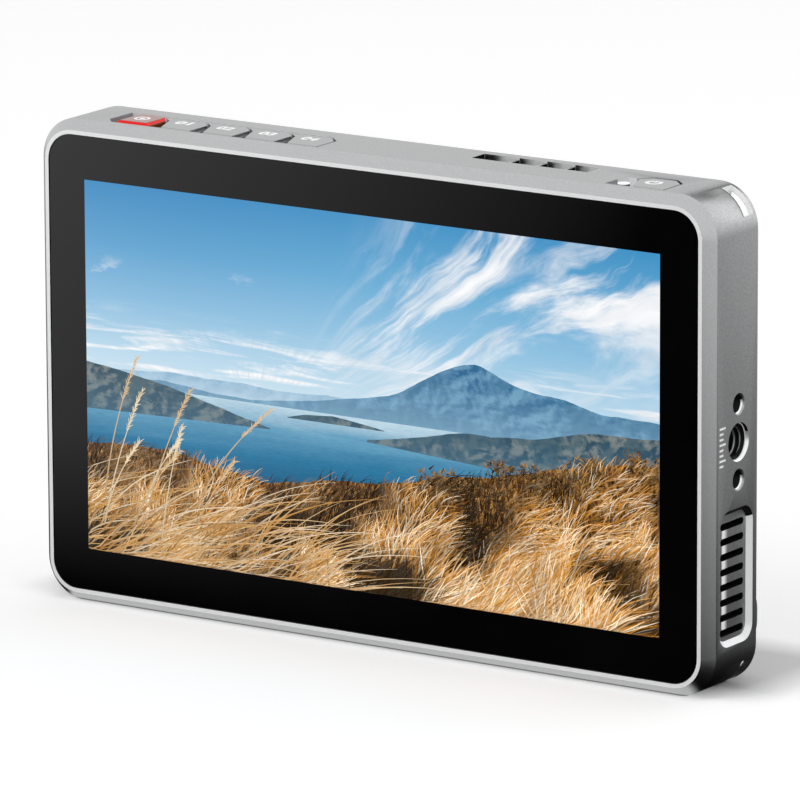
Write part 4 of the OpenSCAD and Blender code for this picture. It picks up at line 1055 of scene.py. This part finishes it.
def patches(u, v, seed, cells):
    """Soft random patches from 0 to 1: random heights on a grid, blended by smooth steps between them."""
    grid = np.random.default_rng(seed).uniform(0, 1, (2 * cells + 4, cells + 4))
    x, y = np.clip(u, 0, 1) * 2 * cells, np.clip(v, 0, 1) * cells
    i, j = x.astype(int), y.astype(int)
    a, b = x - i, y - j
    a, b = a * a * (3 - 2 * a), b * b * (3 - 2 * b)
    low = grid[i, j] * (1 - a) + grid[i + 1, j] * a
    high = grid[i, j + 1] * (1 - a) + grid[i + 1, j + 1] * a
    return low * (1 - b) + high * b


def leaves(u, v, length, lean, bend, width, root, tip, layer, joints=5):
    """Tapering leaves on the picture. At share t along it, a leaf's middle line is its root plus its
    length times (sin(lean) t + bend t^2, cos(lean) t - |bend| t^2 / 2), its half width narrows as
    1 - 0.9 t^1.5, and its colour goes from root to tip as t^0.7. Lengths and widths are in millimetres."""
    t = np.linspace(0, 1, joints)[None, :]
    side = np.sin(lean)[:, None] * t + bend[:, None] * t**2
    rise = np.cos(lean)[:, None] * t - np.abs(bend)[:, None] * t**2 / 2
    middle = np.stack([side, rise], -1) * length[:, None, None]
    along = np.gradient(middle, axis=1)
    along /= np.linalg.norm(along, axis=2, keepdims=True)
    half = width[:, None] / 2 * (1 - 0.9 * t**1.5)
    across = np.stack([along[..., 1], -along[..., 0]], -1) * half[..., None]
    edges = np.stack([middle - across, middle + across], 2)
    points = on_picture(
        u[:, None, None] + edges[..., 0] / PICTURE_W, v[:, None, None] + edges[..., 1] / PICTURE_H,
        layer[:, None, None])
    share = (t**0.7)[..., None]
    tint = root[:, None, :] * (1 - share) + tip[:, None, :] * share
    tint = np.repeat(tint[:, :, None, :], 2, 2)
    k = 2 * np.arange(joints - 1)
    strip = np.stack([k, k + 1, k + 3, k + 2], -1)
    faces = strip[None] + (2 * joints * np.arange(len(u)))[:, None, None]
    return points.reshape(-1, 3), faces.reshape(-1, 4), tint.reshape(-1, 3)


def tinted_mesh(name, parts):
    """Mesh of several sets of leaves with their colours. Leaves squeezed flat on the picture's edge go."""
    start = np.cumsum([0] + [len(points) for points, faces, tint in parts[:-1]])
    points = np.concatenate([part[0] for part in parts])
    faces = np.concatenate([part[1] + first for part, first in zip(parts, start)])
    tint = np.concatenate([part[2] for part in parts])
    a, b = points[faces[:, 2]] - points[faces[:, 0]], points[faces[:, 3]] - points[faces[:, 1]]
    area = np.abs(a[:, 0] * b[:, 2] - a[:, 2] * b[:, 0]) / 2
    used, faces = np.unique(faces[area > 1e-4], return_inverse=True)
    mesh = mesh_from(name, points[used], faces.reshape(-1, 4))
    colours = mesh.color_attributes.new("tint", "FLOAT_COLOR", "POINT")
    tint = np.concatenate([tint[used], np.ones((len(used), 1))], 1)
    colours.data.foreach_set("color", tint.astype(np.float32).ravel())
    return mesh


def pick(chance, colours, count):
    """Random rows of a list of sRGB colours, as linear ones."""
    return np.array([srgb(*c)[:3] for c in colours])[chance.integers(0, len(colours), count)]


def crest(u):
    return skyline(u, MEADOW_CREST, 0.010, 41)


def grass(count, wanted):
    """Blades of the slope, far ones first, longer and wider towards the lower edge, with dark hollows. Their
    colours are multiplied by the wanted one's share of the usual one."""
    chance = np.random.default_rng(7)
    u = chance.uniform(-0.03, 1.03, count)
    across = np.linspace(0, 1, 400)
    top = np.interp(u, across, crest(across))
    near = chance.uniform(0, 1, count) ** 0.85
    v = top * (1 - near) - 0.10 * near
    order = np.argsort(-v)
    u, v, near = u[order], v[order], near[order]
    clump = patches(u, v, 11, 13)
    hollow = patches(u, v, 12, 9)
    length = (2.3 + 8.0 * near**1.3) * chance.uniform(0.6, 1.35, count)
    width = (0.15 + 0.27 * near) * chance.uniform(0.6, 1.3, count)
    lean = 0.45 + 1.1 * (clump - 0.5) + chance.normal(0, 0.24, count)
    bend = 0.25 + 0.5 * (clump - 0.4) + chance.normal(0, 0.16, count)
    tips = pick(chance, [(252, 238, 212), (244, 214, 172), (232, 188, 132), (214, 160, 88), (204, 142, 62),
                         (188, 122, 36)], count)
    roots = pick(chance, [(158, 104, 38), (122, 78, 26), (78, 48, 18), (36, 22, 12), (14, 9, 6)], count)
    deep = np.clip((hollow - 0.22) / 0.5, 0, 1)
    shade = (0.06 + 1.34 * deep * deep * (3 - 2 * deep))[:, None] * chance.uniform(0.75, 1.2, (count, 1))
    layer = GRASS_LAYER + np.arange(count) * GRASS_LAYERS // count
    return leaves(u, v, length, lean, bend, width, roots * shade * wanted, tips * shade * wanted, layer)


def long_blades(count, wanted):
    """Long pale blades that arch over the near end of the slope, at the left."""
    chance = np.random.default_rng(21)
    u = chance.uniform(-0.12, 0.42, count)
    v = chance.uniform(-0.14, 0.12, count)
    lean = chance.normal(0.75, 0.22, count)
    bend = chance.uniform(0.1, 0.75, count)
    tips = pick(chance, [(250, 234, 206), (240, 208, 160), (226, 184, 130), (212, 160, 92)], count)
    roots = pick(chance, [(190, 140, 80), (160, 110, 50), (120, 80, 34)], count)
    return leaves(
        u, v, chance.uniform(9, 24, count), lean, bend, chance.uniform(0.22, 0.42, count), roots * wanted,
        tips * wanted, np.full(count, LONG_LAYER), 9)


def tall_stalks(wanted):
    """A few seed stalks before the lake, and the seed leaves that stand off their upper thirds."""
    chance = np.random.default_rng(5)
    count = 9
    u, v = chance.uniform(0.02, 0.24, count), chance.uniform(0.02, 0.16, count)
    length, lean = chance.uniform(14, 30, count), chance.uniform(0.12, 0.5, count)
    bend = chance.uniform(0.05, 0.25, count)
    pale = pick(chance, [(244, 222, 184), (226, 192, 146)], count) * wanted
    layer = np.full(count, STALK_LAYER)
    stalks = leaves(u, v, length, lean, bend, np.full(count, 0.32), pale * 0.6, pale, layer, 12)
    seeds = 34
    t = np.tile(np.linspace(0.68, 1.0, seeds), count)
    host = np.repeat(np.arange(count), seeds)
    x = length[host] * (np.sin(lean[host]) * t + bend[host] * t**2)
    z = length[host] * (np.cos(lean[host]) * t - bend[host] * t**2 / 2)
    sway = np.where(np.arange(len(t)) % 2, 0.75, -0.35) + chance.normal(0, 0.2, len(t)) + lean[host]
    tone = pale[host] * chance.uniform(0.8, 1.1, (len(t), 1))
    heads = leaves(
        u[host] + x / PICTURE_W, v[host] + z / PICTURE_H, chance.uniform(0.5, 1.3, len(t)), sway,
        np.zeros(len(t)), np.full(len(t), 0.24), tone, tone, layer[host], 4)
    return [stalks, heads]


def shrubs(count):
    """Brown shrubs along the right end of the crest: short leaves turned every way in round clumps."""
    chance = np.random.default_rng(31)
    clumps = 34
    home_u = np.sort(chance.uniform(0.60, 1.02, clumps))
    line = crest(np.linspace(0, 1, 400))
    home_v = line[(np.clip(home_u, 0, 1) * 399).astype(int)] + chance.uniform(-0.06, 0.012, clumps)
    size = chance.uniform(0.010, 0.030, clumps)
    home = chance.integers(0, clumps, count)
    turn, away = chance.uniform(0, 2 * np.pi, count), chance.uniform(0, 1, count) ** 0.5
    u = home_u[home] + np.cos(turn) * away * size[home]
    v = home_v[home] + np.sin(turn) * away * size[home] * 1.1
    up = (np.sin(turn) * away)[:, None] * 0.5 + 0.5
    tone = pick(chance, [(120, 92, 62), (92, 66, 40), (150, 112, 66), (60, 44, 30), (176, 138, 84)], count)
    tone = tone * (0.35 + 0.9 * up)
    return leaves(
        u, v, chance.uniform(0.5, 1.5, count), chance.uniform(-1.5, 1.5, count), np.zeros(count),
        chance.uniform(0.18, 0.4, count), tone * 0.7, tone, np.full(count, SHRUB_LAYER), 3)


def lit(name):
    """Black glossy ground of a lit part of the picture, whose light comes from its Emission Color."""
    return smudged(name, Base_Color=(0.0015, 0.0015, 0.0018, 1), Emission_Strength=1.0)[0]


def picture_place(tree):
    """Shares across and up the picture, in the X and Z of a vector."""
    return stretch(
        object_place(tree), (1 / (PICTURE_W * MM), 0, 1 / (PICTURE_H * MM)),
        (-PICTURE_LEFT / PICTURE_W, 0, -PICTURE_LOW / PICTURE_H))


def sky_finish():
    """Blue sky, paler to the horizon, with thin streaks that fan out to the upper right from a far point,
    and low bars of cloud over the hills."""
    surface = lit("picture sky")
    place = picture_place(surface.tree)
    u, flat, v = parts(place)
    blue = ramp(
        v.remap(0.45, 1.0), (0.0, srgb(214, 230, 240)), (0.16, srgb(190, 219, 236)),
        (0.42, srgb(148, 196, 226)), (0.7, srgb(104, 172, 213)), (1.0, srgb(66, 146, 197)))
    blue = mix(u.ease(0.62, 0.1, 0.34) * v.remap(0.55, 1.0), blue, srgb(40, 120, 182))
    # Angle and distance from the far point that the streaks come from
    x = (u - 0.30) * (PICTURE_W / PICTURE_H)
    z = v - 0.36
    warp = noise(stretch(place, (4, 1, 3)), 1.0, 3.0) - 0.5
    angle = warp * 0.22 + z.calc("ARCTAN2", x)
    away = distance(x, z)
    fan = Value(put(surface.tree, "ShaderNodeCombineXYZ", {"X": angle * 8.5, "Y": away * 1.7}).outputs[0])
    streaks = noise(fan, 1.0, 9.0, 0.62, 0.5)
    body = noise(stretch(place, (3.2, 1, 2.2)), 1.0, 5.0, 0.6)
    spread = angle.ease(0.12, 0.42) * angle.ease(1.12, 0.62) * away.ease(0.22, 0.62)
    cirrus = (streaks + body * 0.45).ease(0.62, 0.86) * spread
    bars = noise(stretch(place, (5.0, 1, 30.0)), 1.0, 6.0, 0.6, 0.6)
    bank = bars.ease(0.47, 0.66) * v.ease(0.46, 0.53) * v.ease(0.70, 0.56)
    puffs = noise(stretch(place, (9.0, 1, 11.0)), 1.0, 6.0, 0.62)
    tufts = puffs.ease(0.60, 0.72) * u.ease(0.42, 0.2) * v.ease(0.60, 0.66) * v.ease(0.82, 0.72)
    shaded = noise(fan, 2.3, 5.0).remap(0.4, 0.7)
    cloud = mix(shaded, srgb(252, 252, 253), srgb(222, 229, 236))
    return surface.feed(Emission_Color=mix(cirrus.max(bank).max(tufts), blue, cloud))


def slope_light_group():
    """Hill sides lit from the upper left: the difference of one fractal height at two near places, as a
    mask, and a slow patchiness for woods and bare ground."""

    def build(place, scale, contrast):
        here = noise(place, scale, 8.0, 0.56, 0.3)
        there = noise(stretch(place, (1, 1, 1), (-0.012, 0, 0.010)), scale, 8.0, 0.56, 0.3)
        light = ((here - there) * contrast).calc("ADD", 0.5, clamp=True)
        return light, noise(place, scale * 0.6, 6.0, 0.6)

    given = {"Place": (0, 0, 0), "Scale": 10.0, "Contrast": 3.0}
    return effect_group("slope light", given, {"Light": 0.0, "Woods": 0.0}, build)


def hill_finish(name, dark, bright, haze, haze_low, haze_high, scale, contrast, woods=None):
    """Hill side between a dark and a bright colour by its light, under haze that thickens downwards."""
    surface = lit(name)
    place = picture_place(surface.tree)
    inputs = {"Place": stretch(place, (PICTURE_W / PICTURE_H, 1, 1.5)), "Scale": scale, "Contrast": contrast}
    slope = outputs(put(surface.tree, "ShaderNodeGroup", inputs, node_tree=slope_light_group()))
    colour = mix(slope["Light"], srgb(*dark), srgb(*bright))
    if woods:
        colour = mix(slope["Woods"].ease(0.46, 0.56, 0.75), colour, srgb(*woods))
    mist = parts(place)[2].remap(haze_high, haze_low) * 0.55
    return surface.feed(Emission_Color=mix(mist, colour, srgb(*haze)))


def lake_finish():
    """Lake, pale at its far end and deep blue near by, with long ripples and bands of calm water."""
    surface = lit("picture lake")
    place = picture_place(surface.tree)
    bands = noise(stretch(place, (3.0, 1, 26.0)), 1.0, 5.0, 0.55, 0.4)
    ripples = noise(stretch(place, (60.0, 1, 380.0)), 1.0, 3.0, 0.6)
    depth = (bands - 0.5) * 0.35 + parts(place)[2].remap(0.25, LAKE_TOP)
    water = ramp(
        depth, (0.0, srgb(26, 96, 136)), (0.35, srgb(40, 118, 158)), (0.7, srgb(98, 158, 190)),
        (1.0, srgb(190, 216, 230)))
    return surface.feed(Emission_Color=toned(water, ripples.remap(0.35, 0.7, 0.90, 1.12)))


def ground_finish():
    """Thatch between the blades: dark hollows and ochre stems."""
    surface = lit("picture ground")
    stems = noise(stretch(picture_place(surface.tree), (150.0, 1, 34.0)), 1.0, 4.0, 0.65, 1.2)
    return surface.feed(Emission_Color=ramp(
        stems, (0.34, srgb(26, 18, 12)), (0.5, srgb(104, 70, 34)), (0.62, srgb(172, 126, 72)),
        (0.78, srgb(220, 182, 132))))


def leaf_finish():
    """Leaves in their own colours, with fine streaks."""
    surface = lit("picture leaves")
    tint = outputs(put(surface.tree, "ShaderNodeAttribute", attribute_name="tint"))["Color"]
    streak = noise(object_place(surface.tree), 9000.0).remap(0.3, 0.7, 0.86, 1.1)
    return surface.feed(Emission_Color=toned(tint, streak))


class MONITOR_OT_picture(bpy.types.Operator):
    """Lit picture of a lake, hills and dry grass, in thin layers on the glass"""

    bl_idname = "monitor.picture"
    bl_label = "Lit Picture"

    def execute(self, context):
        wanted = np.array(tuple(context.scene.monitor_colours.straw)) / STRAW
        picture_sheet("picture_sky", 1.0, 0.40, 0, sky_finish(), steps=60)
        far = hill_finish(
            "picture far ridge", (128, 172, 202), (164, 199, 222), (206, 224, 236), 0.46, 0.53, 9, 5)
        picture_sheet("picture_far_ridge", lambda u: skyline(u, FAR_RIDGE, 0.006, 3), 0.43, 1, far)
        main_hills = hill_finish(
            "picture range", (48, 104, 146), (112, 160, 190), (150, 190, 214), 0.44, 0.60, 9, 7,
            (60, 112, 146))
        picture_sheet("picture_range", lambda u: skyline(u, MAIN_RANGE, 0.011, 19), 0.42, 2, main_hills)
        picture_sheet("picture_lake", LAKE_TOP, 0.20, 3, lake_finish(), steps=60)
        spur = hill_finish(
            "picture spurs", (36, 58, 74), (132, 136, 128), (86, 128, 152), 0.37, 0.56, 13, 9, (44, 72, 84))
        picture_sheet("picture_left_spur", lambda u: skyline(u, LEFT_SPUR, 0.007, 8),
                      lambda u: np.interp(u, (0, 0.33), (0.385, 0.398)), 4, spur, 0, 0.33)
        picture_sheet("picture_right_spur", lambda u: skyline(u, RIGHT_SPUR, 0.008, 14),
                      lambda u: np.interp(u, (0.5, 0.75, 1), (0.402, 0.375, 0.330)), 4, spur, 0.5, 1)
        picture_sheet("picture_island", lambda u: skyline(u, ISLAND, 0.002, 6), 0.436, 4, spur, 0.36, 0.53)
        picture_sheet("picture_ground", lambda u: crest(u) - 0.004, 0.0, 6, ground_finish())
        blades = grass(context.scene.monitor_sizes.blades, wanted)
        sets = [shrubs(1500), blades, long_blades(260, wanted), *tall_stalks(wanted)]
        new_piece("picture_grass", tinted_mesh("picture_grass", sets), "case", leaf_finish())
        return {"FINISHED"}


# ---- Keys and marks ----


class MONITOR_OT_keys(bpy.types.Operator):
    """Red key, four grey keys and the power key"""

    bl_idname = "monitor.keys"
    bl_label = "Keys"

    def execute(self, context):
        width = context.scene.monitor_sizes.key_edge / MM
        dressed("record_button", "red_key_cap", [finish("red_key")], width)
        for i in range(1, 5):
            dressed(f"function_button_{i}", f"grey_key_cap_{i}", [finish("grey_key")], width)
        dressed("power_button", "power_key_cap", [finish("grey_key")], width)
        return {"FINISHED"}


def on_key(points, node, x, y):
    """Points laid flat on the top of a key, from its middle across and a depth."""
    low, high = node_box(node)
    top = np.full(len(points), high[2] + INK)
    return np.stack([(low[0] + high[0]) / 2 + x + points[:, 0], FRONT + y + points[:, 1], top], -1)


def power_sign(radius, width):
    """Broken ring open at the rear and a bar through its gap, as flat bands."""
    turn = np.radians(np.linspace(-240, 60, 49))
    ring = ribbon(np.stack([np.cos(turn), np.sin(turn)], -1) * radius, width)
    bar = ribbon(np.stack([np.zeros(3), np.linspace(0.15, 1.25, 3) * radius], -1), width)
    points = np.concatenate([ring.reshape(-1, 2), bar.reshape(-1, 2)])
    faces = np.concatenate([grid_faces(len(ring), 2), grid_faces(len(bar), 2, first=2 * len(ring))])
    return points, faces


class MONITOR_OT_marks(bpy.types.Operator):
    """White numbers on the grey keys and the power key's sign"""

    bl_idname = "monitor.marks"
    bl_label = "Marks"

    def execute(self, context):
        for i in range(1, 5):
            points, faces = flat_text(f"0{i}", 2.6, 3.4)
            node = f"function_button_{i}"
            printed(f"number_{i}", on_key(points, node, 0.6, 8.4), faces, BODY_OF[node])
        points, faces = power_sign(1.25, 0.75)
        node = "power_button"
        printed("power_sign", on_key(points, node, -0.3, 7.6), faces, BODY_OF[node])
        return {"FINISHED"}


# ---- Threads ----


def thread_sleeve(length, outer):
    """Closed sleeve along its axis from 0 to length. Its inner radius at height s and turn a is the bore's,
    plus the thread's depth times a clipped triangle wave of s / pitch - a / full turn, but at least the
    thread's radius less s (and less length - s) at its two countersunk mouths."""
    turn = np.linspace(0, 2 * np.pi, 72, endpoint=False)
    inside = np.linspace(0, length, int(length / THREAD_PITCH * 14))
    s, a = np.meshgrid(inside, turn, indexing="ij")
    wave = np.abs(((s / THREAD_PITCH - a / (2 * np.pi)) % 1.0) * 2 - 1)
    r = THREAD_BORE + (THREAD_R - THREAD_BORE) * np.clip(wave * 1.3 - 0.15, 0, 1)
    r = np.maximum(r, THREAD_R + 0.15 - np.minimum(s, length - s))
    end, a_end = np.meshgrid([length, 0.0], turn, indexing="ij")
    s, a = np.concatenate([s, end]), np.concatenate([a, a_end])
    r = np.concatenate([r, np.full_like(end, outer)])
    return s, r * np.cos(a), r * np.sin(a)


class MONITOR_OT_threads(bpy.types.Operator):
    """Threaded sleeves in the side and the bottom, with real turns"""

    bl_idname = "monitor.threads"
    bl_label = "Tripod Threads"

    def execute(self, context):
        for node, axis in (("side_thread_insert", 0), ("bottom_thread_insert", 2)):
            low, high = node_box(node)
            middle = (low + high) / 2
            other = 2 - axis
            s, p, q = thread_sleeve(high[axis] - low[axis], (high[1] - low[1]) / 2)
            points = np.empty((*s.shape, 3))
            points[..., axis] = high[axis] - s if axis == 0 else low[axis] + s
            points[..., other] = middle[other] + q
            points[..., 1] = middle[1] + p
            faces = grid_faces(*s.shape, close_rows=True, close_cols=True)
            mesh = turn_outward(mesh_from(node, points, faces))
            mesh.set_sharp_from_angle(angle=math.radians(60))
            material = finish("thread_steel" if axis == 0 else "low_thread")
            piece = new_piece(node.replace("insert", "sleeve"), mesh, "case", material)
            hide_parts(node)
        return {"FINISHED"}


# ---- Sockets ----


class MONITOR_OT_sockets(bpy.types.Operator):
    """Sockets on the left side, with gold contacts on their tongues"""

    bl_idname = "monitor.sockets"
    bl_label = "Sockets"

    def execute(self, context):
        width = context.scene.monitor_sizes.small_edge / MM
        for node in ("video_in_socket", "video_out_socket", "usb_socket", "power_jack", "audio_jack"):
            dressed(node, f"{node}_shell", [finish(SLOT_OF[node])], width)
        for node, count in (("video_in_socket", 10), ("video_out_socket", 10), ("usb_socket", 12)):
            self.contacts(node, count)
        return {"FINISHED"}

    def contacts(self, node, count):
        """Gold strips on both faces of a socket's tongue, over most of its width."""
        low, high = node_box(node)
        size, middle = high - low, (low + high) / 2
        tongue_wide, tongue_thick, used = 0.66, 0.24, 0.86
        spread = size[2] * tongue_wide * used
        z = middle[2] + np.linspace(-0.5, 0.5, count) * spread
        side = size[1] * tongue_thick / 2
        z, y = np.meshgrid(z, [middle[1] - side, middle[1] + side], indexing="ij")
        length = 4.0
        centres = np.stack([np.full(z.size, low[0] + 1.25 + length / 2), y.ravel(), z.ravel()], -1)
        points, faces = boxes(centres, (length, 0.08, spread / count * 0.5))
        mesh = turn_outward(mesh_from(f"{node}_contacts", points, faces, smooth=False))
        new_piece(f"{node}_contacts", mesh, "case", finish("contact_gold"))


# ---- Back and inside ----

DRESSED_ELSEWHERE = {
    "main_housing", "cover_glass", "record_button", "power_button", "video_in_socket", "video_out_socket",
    "usb_socket", "power_jack", "audio_jack", "side_thread_insert", "bottom_thread_insert",
    *(f"function_button_{i}" for i in range(1, 5)),
}
# Pieces with fine or wound forms that a bevel would spoil
KEPT_AS_SOLIDS = {"latch_spring", "lcd_panel", "backlight_unit", "glass_adhesive", "fan_rotor"}


class MONITOR_OT_inside(bpy.types.Operator):
    """Finishes of all solids, for those that stay and those that other pieces replace"""

    bl_idname = "monitor.inside"
    bl_label = "Solids"

    def execute(self, context):
        for name, piece in NODES.items():
            piece.data.materials.clear()
            piece.data.materials.append(finish(SLOT_OF[name]))
        return {"FINISHED"}


class MONITOR_OT_back(bpy.types.Operator):
    """Rear cover, battery mount and the pieces inside, with softened edges"""

    bl_idname = "monitor.back"
    bl_label = "Back and Inside"

    def execute(self, context):
        width = context.scene.monitor_sizes.small_edge / MM
        for name in NODES:
            if name not in DRESSED_ELSEWHERE | KEPT_AS_SOLIDS:
                edge = 2.5 * width if name == "rear_cover" else width
                dressed(name, f"{name}_finished", [finish(SLOT_OF[name])], edge)
        return {"FINISHED"}


class MONITOR_PT_sidebar(bpy.types.Panel):
    """Sizes, colours and makers of the field monitor"""

    bl_idname = "MONITOR_PT_sidebar"
    bl_label = "Field Monitor"
    bl_space_type = "VIEW_3D"
    bl_region_type = "UI"
    bl_category = "Monitor"

    def draw(self, context):
        column = self.layout.column()
        for label in ("edge", "small_edge", "key_edge", "blades"):
            column.prop(context.scene.monitor_sizes, label)
        for label in ("case", "red_key", "straw"):
            column.prop(context.scene.monitor_colours, label)
        for made in MAKERS:
            column.operator(made.bl_idname)


MAKERS = (
    MONITOR_OT_stage,
    MONITOR_OT_inside,
    MONITOR_OT_case,
    MONITOR_OT_screen,
    MONITOR_OT_picture,
    MONITOR_OT_keys,
    MONITOR_OT_marks,
    MONITOR_OT_threads,
    MONITOR_OT_sockets,
    MONITOR_OT_back,
)
CLASSES = (MonitorSizes, MonitorColours, *MAKERS, MONITOR_PT_sidebar)


def register():
    for made in CLASSES:
        bpy.utils.register_class(made)
    bpy.types.Scene.monitor_sizes = bpy.props.PointerProperty(type=MonitorSizes)
    bpy.types.Scene.monitor_colours = bpy.props.PointerProperty(type=MonitorColours)


def unregister():
    del bpy.types.Scene.monitor_colours
    del bpy.types.Scene.monitor_sizes
    for made in reversed(CLASSES):
        bpy.utils.unregister_class(made)


def main():
    register()
    bpy.ops.monitor.stage()
    bpy.ops.monitor.inside()
    bpy.ops.monitor.case()
    bpy.ops.monitor.screen()
    bpy.ops.monitor.picture()
    bpy.ops.monitor.keys()
    bpy.ops.monitor.marks()
    bpy.ops.monitor.threads()
    bpy.ops.monitor.sockets()
    bpy.ops.monitor.back()


if __name__ == "__main__":
    main()
